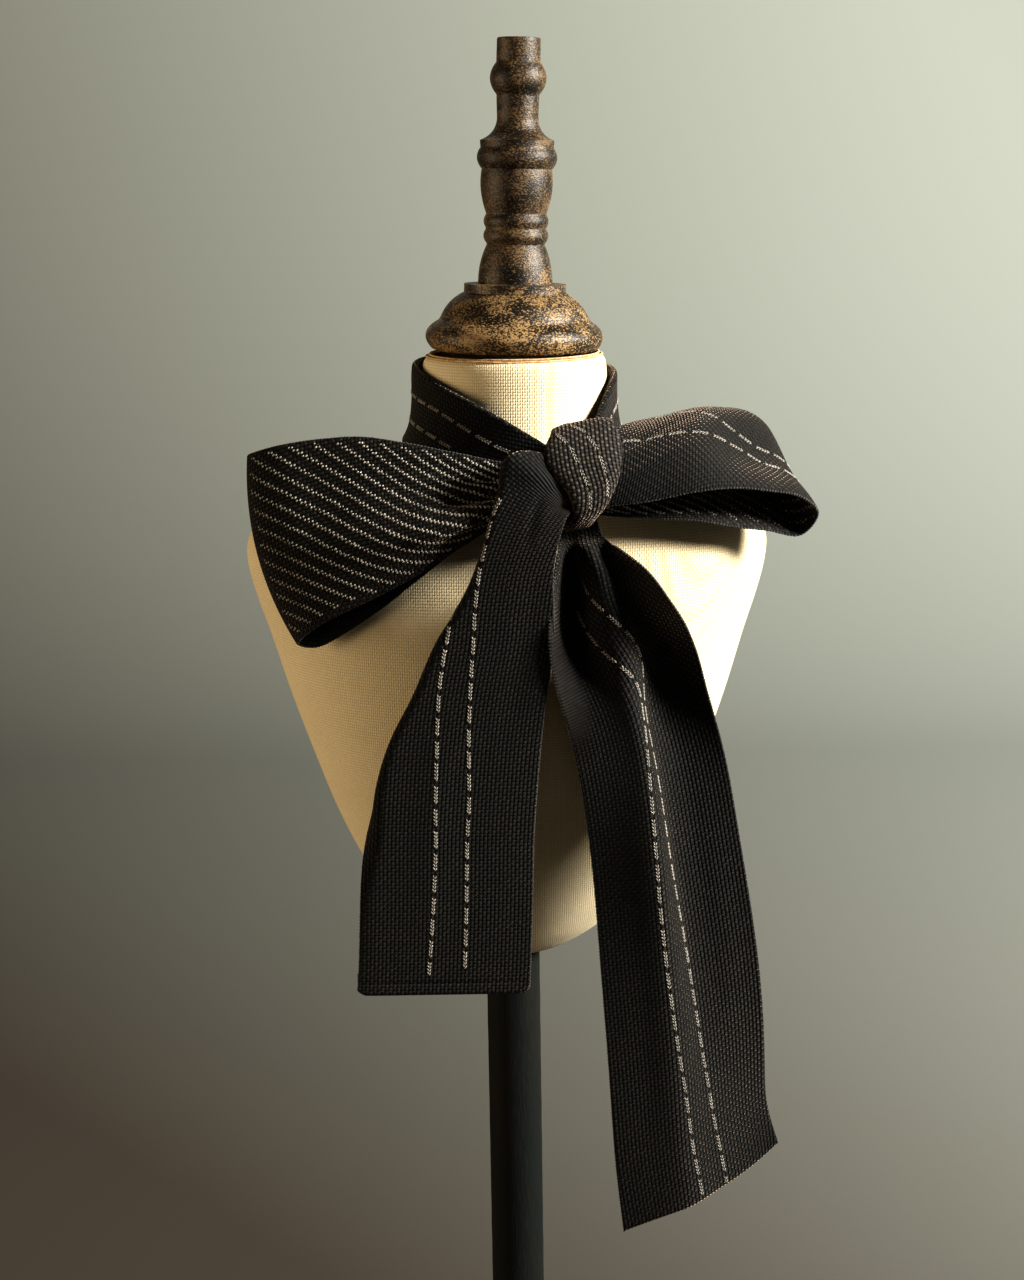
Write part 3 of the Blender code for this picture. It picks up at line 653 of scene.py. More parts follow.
def turned_piece(name, profile, finish, replaced, sides=96, wear=0.0, seed=1):
    """A profile spun round Z, closed at both ends, with `wear` millimetres of unevenness."""
    random = np.random.default_rng(seed)
    angles = np.arange(sides) * 2 * math.pi / sides
    uneven = np.zeros((len(profile), sides))
    for waves in (3, 5, 8, 13):
        phase = random.uniform(0, 2 * math.pi) + profile[:, 1:] * random.uniform(-0.5, 0.5)
        uneven += np.sin(waves * angles[None] + phase) / waves
    radii = profile[:, :1] + wear * uneven
    heights = np.broadcast_to(profile[:, 1:], radii.shape)
    rings = np.stack([radii * np.cos(angles), radii * np.sin(angles), heights], axis=-1)
    points = np.concatenate([rings.reshape(-1, 3), [(0, 0, profile[0, 1]), (0, 0, profile[-1, 1])]])
    faces = ring_faces(len(rings), sides).tolist()
    low, high, last = len(points) - 2, len(points) - 1, (len(rings) - 1) * sides
    for k in range(sides):
        faces.append((low, (k + 1) % sides, k))
        faces.append((high, last + k, last + (k + 1) % sides))
    piece = add_piece(name, points, faces, [finish], crisp_from=SHARP_TURN)
    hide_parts(replaced)
    return piece


FINIAL_LEAN = math.radians(1.7)
SEAT_LIFT = 0.3 + 32.0 * math.sin(FINIAL_LEAN)
finial = turned_piece("neck_cap_finial", profile_of(FINIAL), cap_wood, "finial", wear=0.14, seed=4)
seat = Matrix.Translation((NECK_X * MM, 0, (NECK_TOP + SEAT_LIFT) * MM))
finial.data.transform(seat @ Matrix.Rotation(FINIAL_LEAN, 4, "Y"))
pole_heights = np.linspace(POLE_FOOT, POLE_TOP, POLE_RINGS)
pole_profile = np.stack([np.full(POLE_RINGS, POLE_RADIUS), pole_heights], axis=1)
pole = turned_piece("wooden_pole", pole_profile, pole_wood, "pole", wear=0.1, seed=7)
base = turned_piece("turned_base", profile_of(BASE), pole_wood, "base", sides=144, wear=0.1, seed=9)
print("turned pieces:", finial.name, pole.name, base.name)

# %% [markdown]
# ## The raw canvas edge
# Under the cap the canvas cover ends in a raw, scorched-looking double edge with a dark slit above
# it. Two thin uneven rings of frayed cloth stand for it, with a little seeded wobble in each.

# %% Raw edge
raw_edge = yarn_material("raw_canvas_edge", (0.34, 0.17, 0.05, 1), (0.72, 0.50, 0.24, 1), 700.0)
EDGE_STEPS, EDGE_SIDES = 240, 6


def make_raw_edge(name, radius, height, tube, seed):
    """A thin frayed ring that rises and falls a little, like a cut edge of canvas."""
    random = np.random.default_rng(seed)
    turns = np.arange(EDGE_STEPS) * 2 * math.pi / EDGE_STEPS
    wave = np.zeros(EDGE_STEPS)
    for waves in (2, 3, 7, 17, 31):
        wave += np.sin(waves * turns + random.uniform(0, 6.28)) / (waves + 2)
    around = np.arange(EDGE_SIDES) * 2 * math.pi / EDGE_SIDES
    rings = []
    for turn, lift in zip(turns, wave):
        out = radius + 0.4 * lift + tube * np.cos(around)
        up = height + 0.35 * lift + tube * 0.8 * np.sin(around)
        rings.append(np.stack([NECK_X + out * math.cos(turn), out * math.sin(turn), up], axis=1))
    points = np.concatenate(rings)
    piece = add_piece(name, points, ring_faces(EDGE_STEPS, EDGE_SIDES, closed=True), [raw_edge])
    return piece


outer_edge = make_raw_edge("raw_edge_outer", 33.9, 483.5, 0.5, 11)
inner_edge = make_raw_edge("raw_edge_inner", 32.6, 484.2, 0.5, 12)
print("raw edge:", outer_edge.name, inner_edge.name)

# %% [markdown]
# ## Cloth as a thin shell
# Each stretch of the tie is a thin wall of knit about a middle surface. Columns run along the strip
# and rows across it. The two selvedges are rounded over in a half circle, as a real knitted edge
# is. The shell remembers which of its two sides is the face, so that stitches can be laid on it.

# %% Cloth shell
CLOTH = 1.2
TIE_WIDTH = 64.0
RIM = np.radians((30, 60, 90, 120, 150))


def measure_cloth(grid, face_at, face_towards, ring=False):
    """A middle surface with its directions. The face side is the one that looks `face_towards`."""
    if ring:
        padded = np.concatenate([grid[-1:], grid, grid[:1]])
        forward = (padded[2:] - padded[:-2]) / 2
    else:
        forward = np.gradient(grid, axis=0)
    normal = unit(np.cross(forward, np.gradient(grid, axis=1)))
    i, j = int(face_at[0] * (len(grid) - 1)), int(face_at[1] * (grid.shape[1] - 1))
    if normal[i, j] @ np.array(face_towards) < 0:
        normal = -normal
    middle = grid[:, grid.shape[1] // 2]
    along = np.cumsum(np.linalg.norm(np.diff(middle, axis=0, prepend=middle[:1]), axis=1))
    return {"grid": grid, "normal": normal, "forward": unit(forward), "along": along, "ring": ring}


def shell_piece(name, cloth, replaced, rolled=()):
    """The wall of cloth itself, with rounded selvedges.

    `rolled` lists patches whose courses open into ribs: (along, across, half length, half width).
    """
    grid, normal, ring = cloth["grid"], cloth["normal"], cloth["ring"]
    rows, columns = grid.shape[:2]
    half = CLOTH / 2
    edge_first = unit(grid[:, 0] - grid[:, 1])
    edge_last = unit(grid[:, -1] - grid[:, -2])
    face = grid + normal * half
    reverse = grid - normal * half

    def rim(j, outward, angles):
        turned = [normal[:, j] * math.cos(a) + outward * math.sin(a) for a in angles]
        return grid[:, j][:, None] + np.stack(turned, axis=1) * half

    loop = [face, rim(-1, edge_last, RIM), reverse[:, ::-1], rim(0, edge_first, RIM[::-1])]
    points = np.concatenate(loop, axis=1)
    sides = points.shape[1]
    width = np.linalg.norm(np.diff(grid, axis=1, prepend=grid[:, :1]), axis=2).cumsum(axis=1)
    width -= width[:, columns // 2][:, None]
    across = [width, np.repeat(width[:, -1:], len(RIM), axis=1), width[:, ::-1]]
    across = np.concatenate(across + [np.repeat(width[:, :1], len(RIM), axis=1)], axis=1)
    along = np.broadcast_to(cloth["along"][:, None], across.shape)
    ribbed = np.zeros(across.shape)
    for centre, middle, reach, spread in rolled:
        away = np.hypot((along - centre) / reach, (across + TIE_WIDTH / 2 - middle) / spread)
        ribbed = np.maximum(ribbed, np.clip(2.5 - 2.5 * away, 0, 1))
    places = np.stack([along, across, ribbed], axis=-1)
    faces = ring_faces(rows, sides, closed=ring)
    k = np.arange(sides)
    on_reverse = (k >= columns + len(RIM)) & (k < 2 * columns + len(RIM) - 1)
    finish = np.tile(on_reverse.astype(int), rows if ring else rows - 1)
    if not ring:
        ends = []
        for level in (0, rows - 1):
            j = np.arange(columns - 1)
            front = level * sides + j
            rear = level * sides + 2 * columns + len(RIM) - 1 - j
            ends.append(np.stack([front, front + 1, rear - 1, rear], axis=1))
        faces = np.concatenate([faces, *ends])
        finish = np.concatenate([finish, np.zeros(2 * (columns - 1), int)])
    piece = add_piece(name, points.reshape(-1, 3), faces, [knit_face, knit_reverse], finish)
    keep_places(piece, "cloth_mm", places.reshape(-1, 3))
    bpy.context.view_layer.objects.active = piece
    piece.select_set(True)
    bpy.ops.object.mode_set(mode="EDIT")
    bpy.ops.mesh.select_all(action="SELECT")
    bpy.ops.mesh.normals_make_consistent(inside=False)
    bpy.ops.object.mode_set(mode="OBJECT")
    piece.select_set(False)
    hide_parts(replaced)
    return piece


def soften(cloth_grid, reach):
    """Evens out a grid along the strip over this many sections, with both of its ends kept."""
    weights = np.hanning(2 * reach + 3)[1:-1]
    weights /= weights.sum()
    first = 2 * cloth_grid[0] - cloth_grid[reach:0:-1]
    last = 2 * cloth_grid[-1] - cloth_grid[-2 : -reach - 2 : -1]
    padded = np.concatenate([first, cloth_grid, last])
    rows = len(cloth_grid)
    return sum(weight * padded[k : k + rows] for k, weight in enumerate(weights))


def crease(cloth_grid, lines):
    """Pushes soft ridges and troughs into a grid of cloth.

    Each line is (share along, share across, share along, share across, depth, width in mm). At the
    front of the left loop and tail a depth above nought is a trough, and on the right ones a ridge.
    """
    rows, columns = cloth_grid.shape[:2]
    normal = unit(np.cross(np.gradient(cloth_grid, axis=0), np.gradient(cloth_grid, axis=1)))
    middle = cloth_grid[:, columns // 2]
    length = np.linalg.norm(np.diff(middle, axis=0), axis=1).sum()
    u = np.linspace(0, 1, rows)[:, None] * length
    v = np.linspace(0, 1, columns)[None, :] * TIE_WIDTH
    lift = np.zeros((rows, columns))
    for start_u, start_v, end_u, end_v, depth, width in lines:
        a = np.array((start_u * length, start_v * TIE_WIDTH))
        b = np.array((end_u * length, end_v * TIE_WIDTH))
        run = b - a
        part = ((u - a[0]) * run[0] + (v - a[1]) * run[1]) / (run @ run)
        inside = np.clip(part, 0, 1)
        gap = np.hypot(u - a[0] - inside * run[0], v - a[1] - inside * run[1])
        fade = np.sin(math.pi * np.clip(0.15 + 0.7 * inside, 0, 1))
        lift += depth * fade * np.exp(-((gap / width) ** 2))
    return cloth_grid + normal * lift[:, :, None]


print("cloth", CLOTH, "mm thick, strip", TIE_WIDTH, "mm wide")

# %% [markdown]
# ## Beads of yarn laid on cloth
# A stitch that stands out is a small ellipsoid half sunk in the cloth. All the beads of one kind on
# one stretch are one mesh, made from a single bead repeated at every place, turned to lie along
# the cloth. Five sides are enough for a bead that is half a millimetre thick.


# %% Beads
def bead_template(sides=5, rings=2):
    """Points and faces of one unit bead, closed, with its poles along the stitch."""
    points = [(1.0, 0.0, 0.0)]
    for k in range(1, rings + 1):
        a = math.pi * k / (rings + 1)
        for turn in np.arange(sides) * 2 * math.pi / sides:
            points.append((math.cos(a), math.sin(a) * math.cos(turn), math.sin(a) * math.sin(turn)))
    points.append((-1.0, 0.0, 0.0))
    faces = []
    for k in range(sides):
        nxt = (k + 1) % sides
        faces.append((0, 1 + k, 1 + nxt))
        for ring in range(rings - 1):
            low, high = 1 + ring * sides, 1 + (ring + 1) * sides
            faces.append((low + k, high + k, high + nxt, low + nxt))
        last = 1 + (rings - 1) * sides
        faces.append((last + k, len(points) - 1, last + nxt))
    return np.array(points), faces


def add_beads(name, centres, lengthwise, sideways, outward, sizes, finish):
    """Beads with these centres and directions. `sizes` are half length, half width and height."""
    template, faces = bead_template()
    count = len(centres)
    sizes = np.broadcast_to(np.asarray(sizes, float), (count, 3))
    spread = (
        template[None, :, 0:1] * (lengthwise * sizes[:, 0:1])[:, None]
        + template[None, :, 1:2] * (sideways * sizes[:, 1:2])[:, None]
        + template[None, :, 2:3] * (outward * sizes[:, 2:3])[:, None]
    )
    points = (centres[:, None] + spread).reshape(-1, 3)
    all_faces = []
    for corners in faces:
        block = np.array(corners)[None] + (np.arange(count) * len(template))[:, None]
        all_faces.extend(block.tolist())
    return add_piece(name, points, all_faces, [finish])


def lay_on(cloth, along, across, side):
    """Points on the face (side 1) or reverse (side -1) of a cloth, and the directions there."""
    grid = cloth["grid"]
    rows, columns = grid.shape[:2]
    i = np.interp(along, cloth["along"], np.arange(rows))
    j = np.clip(across / TIE_WIDTH, 0, 1) * (columns - 1)
    i0 = np.minimum(i.astype(int), rows - 2)
    j0 = np.minimum(j.astype(int), columns - 2)
    a, b = (i - i0)[:, None], (j - j0)[:, None]

    def read(values):
        near = (1 - b) * values[i0, j0] + b * values[i0, j0 + 1]
        far = (1 - b) * values[i0 + 1, j0] + b * values[i0 + 1, j0 + 1]
        return (1 - a) * near + a * far

    outward = unit(read(cloth["normal"])) * side
    forward = unit(read(cloth["forward"]))
    sideways = unit(np.cross(outward, forward))
    return read(grid) + outward * CLOTH / 2, forward, sideways, outward


print("one bead has", len(bead_template()[0]), "points")

# %% [markdown]
# ## Dashes, dots and edges
# Two thin dashed lines run down the face, each dash five slanted pairs of pale stitches. On the
# reverse the pale yarn shows as slanting rows of dots in zigzag. Both selvedges are a chain of
# small black loops.

# %% Stitch patterns
DASH_PERIOD = 8.8
DASH_COURSES = 5
DASH_BEAD = (0.80, 0.32, 0.30)  # half length, half width and height
DASH_LEAN = 0.5  # radians, to either side
PAIR_HALF_GAP = 0.34
PAIR_STAGGER = 0.2
ROW_SPACING = 4.65
ROW_SLANT = math.radians(36.7)
ZIGZAG = 0.32
DOT_PITCH = 1.0
DOT_BEAD = (0.52, 0.38, 0.28)
EDGE_PITCH = 1.3
EDGE_BEAD = (0.62, 0.66, 0.42)
EDGE_OUT = 0.42


def lay_dashes(name, cloth, lines, seed, scale=1.0):
    """Dashed lines on the face. A line is a list of (distance along, place across)."""
    random = np.random.default_rng(seed)
    parts = []
    for line in lines:
        stops = np.array(line, float)
        along = np.linspace(stops[0, 0], stops[-1, 0], 600)
        across = np.interp(along, stops[:, 0], stops[:, 1])
        across = np.convolve(np.pad(across, 20, mode="edge"), np.ones(41) / 41, mode="valid")
        path, _, _, outward = lay_on(cloth, along, across, 1)
        run = np.cumsum(np.linalg.norm(np.diff(path, axis=0, prepend=path[:1]), axis=1))
        begins = np.arange(random.uniform(0.5, 4), run[-1], DASH_PERIOD)
        begins += random.normal(0, 0.12, len(begins))
        stitches = (begins[:, None] + np.arange(DASH_COURSES) * COURSE).ravel()
        stitches = stitches[stitches < run[-1] - 0.5]
        ahead = unit(np.gradient(path, axis=0))
        for leg in (-1, 1):
            at = stitches + PAIR_STAGGER * leg + random.normal(0, 0.05, len(stitches))
            point, out, forward = (
                np.stack([np.interp(at, run, values[:, k]) for k in range(3)], axis=1)
                for values in (path, outward, ahead)
            )
            out, forward = unit(out), unit(forward)
            sideways = np.cross(out, forward)
            turn = (-DASH_LEAN * leg + random.normal(0, 0.12, len(at)))[:, None]
            lengthwise = forward * np.cos(turn) + sideways * np.sin(turn)
            grow = random.uniform(0.85, 1.1, (len(at), 1)) * scale * (1.0 if leg > 0 else 0.85)
            centres = point + sideways * PAIR_HALF_GAP * leg
            sizes = grow * np.array(DASH_BEAD)
            parts.append((centres, lengthwise, np.cross(out, lengthwise), out, sizes))
    laid = [np.concatenate(part) for part in zip(*parts)]
    piece = add_beads(name, *laid, dash_yarn)
    print(name, len(laid[0]), "stitches")
    return piece


def lay_dots(name, cloth, slant, low, high, start, end, seed, bare_in_shade=(0, 0)):
    """Slanting zigzag rows of dots on the reverse, with none between the two places given last,
    which leaves that stretch dark as painted shade.

    `slant` is +1 or -1 for which way they lean.
    """
    random = np.random.default_rng(seed)
    centres = []
    reach = end - start + TIE_WIDTH
    for row in np.arange(-reach, reach, ROW_SPACING):
        for k, step in enumerate(np.arange(-reach, reach, DOT_PITCH)):
            zigzag = ZIGZAG if k % 2 else -ZIGZAG
            along = start + math.cos(ROW_SLANT) * step - math.sin(ROW_SLANT) * (row + zigzag)
            across = slant * (math.sin(ROW_SLANT) * step + math.cos(ROW_SLANT) * (row + zigzag))
            if slant < 0:
                across += TIE_WIDTH
            inside = start < along < end and low < across < high
            if inside and not bare_in_shade[0] < along < bare_in_shade[1]:
                centres.append((along, across))
    centres = np.array(centres)
    centres += random.normal(0, 0.07, centres.shape)
    point, forward, sideways, outward = lay_on(cloth, centres[:, 0], centres[:, 1], -1)
    sizes = np.array(DOT_BEAD) * random.uniform(0.75, 1.15, (len(centres), 1))
    turn = slant * ROW_SLANT
    lengthwise = forward * math.cos(turn) + sideways * math.sin(turn)
    crosswise = np.cross(outward, lengthwise)
    piece = add_beads(name, point, lengthwise, crosswise, outward, sizes, dot_yarn)
    print(name, len(centres), "dots")
    return piece


def lay_edges(name, cloth, seed):
    """A chain of small loops along both selvedges."""
    random = np.random.default_rng(seed)
    parts = []
    for j, inner in ((0, 1), (-1, -2)):
        line = cloth["grid"][:, j]
        outward = unit(line - cloth["grid"][:, inner])
        run = np.cumsum(np.linalg.norm(np.diff(line, axis=0, prepend=line[:1]), axis=1))
        at = np.arange(EDGE_PITCH / 2, run[-1], EDGE_PITCH)

        def read(values, at=at, run=run):
            return np.stack([np.interp(at, run, values[:, k]) for k in range(3)], axis=1)

        out = unit(read(outward))
        forward = unit(read(cloth["forward"][:, j]))
        parts.append((read(line) + out * EDGE_OUT, forward, np.cross(out, forward), out))
    point, forward, sideways, out = (np.concatenate(p) for p in zip(*parts))
    sizes = np.array(EDGE_BEAD) * random.uniform(0.85, 1.1, (len(point), 1))
    piece = add_beads(name, point, forward, sideways, out, sizes, edge_yarn)
    print(name, len(point), "loops")
    return piece


print("dash period", DASH_PERIOD, "mm, dot rows", ROW_SPACING, "mm apart")

# %% [markdown]
# ## The neck band
# The strip goes round the neck folded lengthways in a flat C, its two margins turned in behind. It
# is high at the back and falls to the knot in front. The section of the C is carried round the
# neck a little off the canvas.

# %% Neck band
BAND_COLUMNS = ("turn", "top", "bottom", "forward")
BAND = (
    (-20.0, 451.0, 443.0, 9.4),
    (-12.0, 455.0, 442.0, 7.2),
    (0.0, 460.0, 440.5, 4.6),
    (12.0, 464.6, 439.5, 2.4),
    (26.0, 469.2, 440.0, 1.0),
    (47.0, 474.7, 444.0, 0.3),
    (70.0, 478.2, 447.5, 0.0),
    (90.0, 480.0, 449.5, 0.0),
    (120.0, 480.5, 450.0, 0.0),
    (160.0, 479.5, 449.0, 0.0),
    (200.0, 479.0, 448.5, 0.0),
    (240.0, 478.0, 448.0, 0.0),
    (270.0, 476.3, 446.5, 0.0),
    (288.0, 472.5, 444.5, 0.6),
    (300.0, 466.5, 442.0, 2.2),
    (309.0, 460.0, 440.5, 5.0),
    (317.0, 455.0, 440.0, 8.6),
    (325.0, 452.0, 440.0, 12.4),
)
BAND_TURNED_IN = 11.0
BAND_EASE = 1.4
BAND_GAP = 0.3
MOST_TURNED_IN = 0.42


def off_bust(height, turn, distance):
    """A point this far out from the torso, square to it."""
    up = bust_point(height + 2, turn) - bust_point(height - 2, turn)
    along = bust_point(height, turn + 2) - bust_point(height, turn - 2)
    return bust_point(height, turn) + unit(np.cross(up, along)) * distance


def band_section():
    """The C fold, as (distance off the torso, share of the band's height, offset in height)."""
    inner = BAND_EASE + CLOTH / 2
    outer = inner + CLOTH + BAND_GAP
    radius, middle = (outer - inner) / 2, (outer + inner) / 2
    turns = np.radians(np.linspace(0, 180, 9))[1:-1]
    path = [(inner, 0.0, radius + reach) for reach in np.linspace(BAND_TURNED_IN, 0, 10)]
    for a in turns:
        path.append((middle - radius * math.cos(a), 0.0, radius - radius * math.sin(a)))
    for share in np.linspace(0, 1, 41):
        path.append((outer, share, radius * (1 - 2 * share)))
    for a in turns:
        path.append((middle + radius * math.cos(a), 1.0, radius * math.sin(a) - radius))
    path += [(inner, 1.0, -radius - reach) for reach in np.linspace(0, BAND_TURNED_IN, 10)]
    return path


def band_grid(sections=170):
    """The C fold carried round the neck."""
    band = named(BAND_COLUMNS, spline(BAND, sections))
    grid = []
    for turn, top, bottom, forward in zip(*(band[name] for name in BAND_COLUMNS)):
        height = top - bottom
        row = []
        for distance, share, offset in band_section():
            reach = min(abs(offset), MOST_TURNED_IN * height)
            z = bottom + share * height + math.copysign(reach, offset)
            row.append(off_bust(z, turn, distance) + (0, -forward, 0))
        grid.append(row)
    return np.array(grid)


band = measure_cloth(band_grid(), (0.3, 0.5), (-1, -0.3, 0))
neck_band = shell_piece("knit_neck_band", band, "neck_band", rolled=[(250, 32, 16, 60)])
length = float(band["along"][-1])
BAND_LINES = (
    ((15, 31), (26, 34.6), (37, 37.2), (49, 38.9), (71, 38.9), (100, 37.5), (257, 37.5)),
    ((41, 25.1), (54, 26.3), (75, 25.9), (100, 24.5), (257, 24.5)),
)
band_dashes = lay_dashes("neck_band_dashes", band, BAND_LINES, 21)
print("neck band", round(length), "mm long")

# %% [markdown]
# ## The bow's two loops
# Each loop leaves the knot, turns back on itself and comes home behind. A row of a table is one
# section across the strip, from its lower selvedge to its upper one. Near the knot the wide strip
# is crushed into small pleats, so a wave across the strip grows towards both of its ends.

# %% Loops
LOOP_COLUMNS = ("low_x", "low_y", "low_z", "top_x", "top_y", "top_z", "bow", "shelf")
LEFT_LOOP = (
    (20.0, -63.4, 431.0, 20.5, -62.6, 447.0, 0.4, 0.5),
    (8.0, -64.6, 431.5, 9.0, -63.6, 448.3, 0.6, 1.5),
    (-6.0, -65.6, 427.5, -4.0, -64.4, 450.6, 1.2, 3.0),
    (-20.0, -66.0, 418.5, -18.0, -64.0, 453.6, 2.5, 3.5),
    (-35.0, -65.0, 409.0, -34.0, -62.0, 456.8, 4.0, 2.2),
    (-50.0, -63.0, 401.0, -51.0, -58.8, 459.2, 4.6, 1.0),
    (-63.0, -60.5, 394.6, -67.5, -55.4, 458.2, 4.4, 0.5),
    (-72.5, -57.0, 388.6, -83.0, -52.2, 455.6, 4.6, 0.0),
    (-78.5, -51.0, 382.0, -94.3, -46.5, 451.6, 5.6, 0.0),
    (-71.0, -50.5, 380.8, -86.0, -40.5, 451.0, 1.5, 0.0),
    (-60.0, -53.5, 386.8, -67.0, -43.5, 449.5, -1.5, 0.0),
    (-46.0, -57.0, 396.6, -48.0, -49.5, 448.5, -1.0, 0.0),
    (-32.0, -58.8, 407.8, -32.0, -51.5, 447.5, -0.5, 0.0),
    (-16.0, -58.8, 419.5, -16.0, -53.0, 446.5, 0.0, 0.0),
    (0.0, -58.3, 428.0, 0.0, -54.5, 446.0, 0.0, 0.0),
    (20.0, -57.8, 431.0, 20.0, -56.0, 446.0, 0.0, 0.0),
)
RIGHT_LOOP = (
    (24.0, -64.6, 433.0, 24.5, -62.1, 454.8, 0.4, 0.0),
    (37.0, -67.0, 434.8, 40.0, -50.5, 460.0, 4.0, 0.0),
    (52.0, -68.0, 436.6, 53.0, -32.0, 461.0, 9.0, 0.0),
    (70.0, -67.0, 439.8, 70.0, -14.0, 461.0, 12.0, -1.0),
    (84.0, -61.5, 439.8, 82.0, -4.0, 461.0, 8.0, -3.5),
    (97.0, -55.0, 437.5, 88.4, 1.0, 461.0, 5.0, -4.5),
    (109.0, -47.5, 434.0, 92.0, 5.5, 459.0, 3.5, -3.0),
    (116.4, -41.5, 426.5, 93.5, 9.0, 455.0, 1.5, -1.0),
    (110.5, -37.0, 417.8, 90.5, 10.0, 449.0, -3.5, 0.0),
    (98.0, -41.0, 420.5, 84.0, 9.0, 446.5, -5.0, 0.0),
    (86.0, -46.5, 422.8, 75.0, 2.0, 446.0, -5.0, 0.0),
    (70.0, -52.0, 426.5, 64.0, -14.0, 446.5, -3.0, 0.0),
    (54.0, -55.0, 428.0, 53.0, -36.0, 447.0, -1.0, 0.0),
    (39.0, -57.0, 429.5, 39.0, -53.5, 447.0, 0.0, 0.0),
    (24.0, -57.8, 432.0, 24.0, -56.0, 446.5, 0.0, 0.0),
)
LOOP_SECTIONS, LOOP_PLACES = 201, 89
PLEATS = 3.6  # waves across the strip where the knot gathers it
PLEAT_SHIFT = 0.15
CRUSHED_TO = 14.0  # the height of a section whose pleats are at their deepest
CRUSH_RUN = 26.0  # sections this much higher have none


def loop_grid(table, side, gather):
    """Sections bowed out, with a soft shelf and pleats of `gather` millimetres at the knot.

    `side` is 1 for a loop that leaves the knot towards +X and -1 for one towards -X.
    """
    rows = spline(table, LOOP_SECTIONS)
    loop = named(LOOP_COLUMNS, rows)
    low, top = rows[:, 0:3], rows[:, 3:6]
    along = np.gradient((low + top) / 2, axis=0)
    out = side * unit(np.cross(along, top - low))
    share = np.linspace(0, 1, LOOP_PLACES)
    bow = 4 * share * (1 - share)
    shelf = np.sin(2 * math.pi * share) * np.sin(math.pi * share)
    lift = loop["bow"][:, None] * bow + loop["shelf"][:, None] * shelf
    height = np.linalg.norm(top - low, axis=1)
    crush = np.clip(1 - (height - CRUSHED_TO) / CRUSH_RUN, 0, 1)[:, None]
    deeper_behind = np.linspace(0.6, 1.7, LOOP_SECTIONS)[:, None]
    pleats = np.sin(2 * math.pi * (PLEATS * share + PLEAT_SHIFT)) * np.sin(math.pi * share)
    lift += gather * crush * deeper_behind * pleats
    line = low[:, None] + (top - low)[:, None] * share[None, :, None]
    return line + out[:, None] * lift[:, :, None]


print("loops of", len(LEFT_LOOP), "and", len(RIGHT_LOOP), "sections")

# %% [markdown]
# ## The left loop
# The left loop shows the reverse of the strip, with its rows of pale dots, and the face is inside.
# Three soft lines make the hollow beside the knot and the rolls above and below it. The rows of
# dots leave out the sharp fold at the loop's end, so that it stays dark: painted shade.

# %% Left loop
LEFT_LOOP_CREASES = (
    (0.05, 0.74, 0.26, 0.74, -1.2, 4.0),  # soft roll above the hollow
    (0.03, 0.42, 0.21, 0.50, 3.6, 3.2),  # the hollow beside the knot
    (0.03, 0.20, 0.25, 0.27, -2.0, 3.6),  # roll below it
    (0.28, 0.85, 0.42, 0.55, 0.7, 6.0),
    (0.22, 0.35, 0.44, 0.42, -0.8, 6.0),
    (0.62, 0.30, 0.86, 0.45, 0.6, 4.0),
)
LEFT_LOOP_LINES = (
    ((14, 24.5), (228, 24.5)),
    ((14, 37.5), (228, 37.5)),
)
FOLD_ROW = 8  # the row of the table at the loop's end
left_grid = crease(loop_grid(LEFT_LOOP, -1, 1.3), LEFT_LOOP_CREASES)
left_cloth = measure_cloth(left_grid, (0.25, 0.5), (0, 1, 0))
left_loop = shell_piece("knit_left_loop", left_cloth, "left_loop")
length = float(left_cloth["along"][-1])
# No dots around this fold, which leaves it dark as painted shade.
fold = float(left_cloth["along"][int(LOOP_SECTIONS * FOLD_ROW / (len(LEFT_LOOP) - 1))])
left_parts = [
    lay_dots("left_loop_dots", left_cloth, 1, 2.0, 63.0, 3, length - 3, 31, (fold - 6, fold + 5)),
    lay_dashes("left_loop_dashes", left_cloth, LEFT_LOOP_LINES, 32),
    lay_edges("left_loop_edges", left_cloth, 33),
]
print("left loop strip", round(length), "mm long")

# %% [markdown]
# ## The right loop
# The right loop is the other way about: its face is outside, so the dashes show, and the dots are
# inside it. Its pleats are a little deeper, so that they take up more of the strip's width.

# %% Right loop
RIGHT_LOOP_CREASES = (
    (0.05, 0.25, 0.20, 0.30, 0.6, 3.0),
    (0.05, 0.62, 0.22, 0.58, -0.6, 3.5),
    (0.70, 0.40, 0.92, 0.50, 0.7, 4.0),
)
RIGHT_LOOP_LINES = (
    ((8, 53), (18, 50), (28, 40), (37, 32), (55, 24.5), (75, 22.5), (88, 17.5), (99, 16), (120, 18),
     (150, 24.5), (196, 24.5)),
    ((36, 58), (48, 46), (56, 40), (64, 34), (78, 28), (94, 25), (103, 25), (125, 31), (150, 37.5),
     (196, 37.5)),
)
right_grid = crease(loop_grid(RIGHT_LOOP, 1, 1.5), RIGHT_LOOP_CREASES)
right_cloth = measure_cloth(right_grid, (0.2, 0.4), (0, -1, 0.3))
right_loop = shell_piece("knit_right_loop", right_cloth, "right_loop")
length = float(right_cloth["along"][-1])
right_parts = [
    lay_dots("right_loop_dots", right_cloth, 1, 3.0, 61.5, 3, length - 3, 41),
    lay_dashes("right_loop_dashes", right_cloth, RIGHT_LOOP_LINES, 42),
    lay_edges("right_loop_edges", right_cloth, 43),
]
print("right loop strip", round(length), "mm long")

# %% [markdown]
# ## The wrap round the knot
# One turn of the strip crosses the bow's waist, up over the front and down behind, with its edges
# rolled in. It is a closed ring of sections from its left edge to its right one.

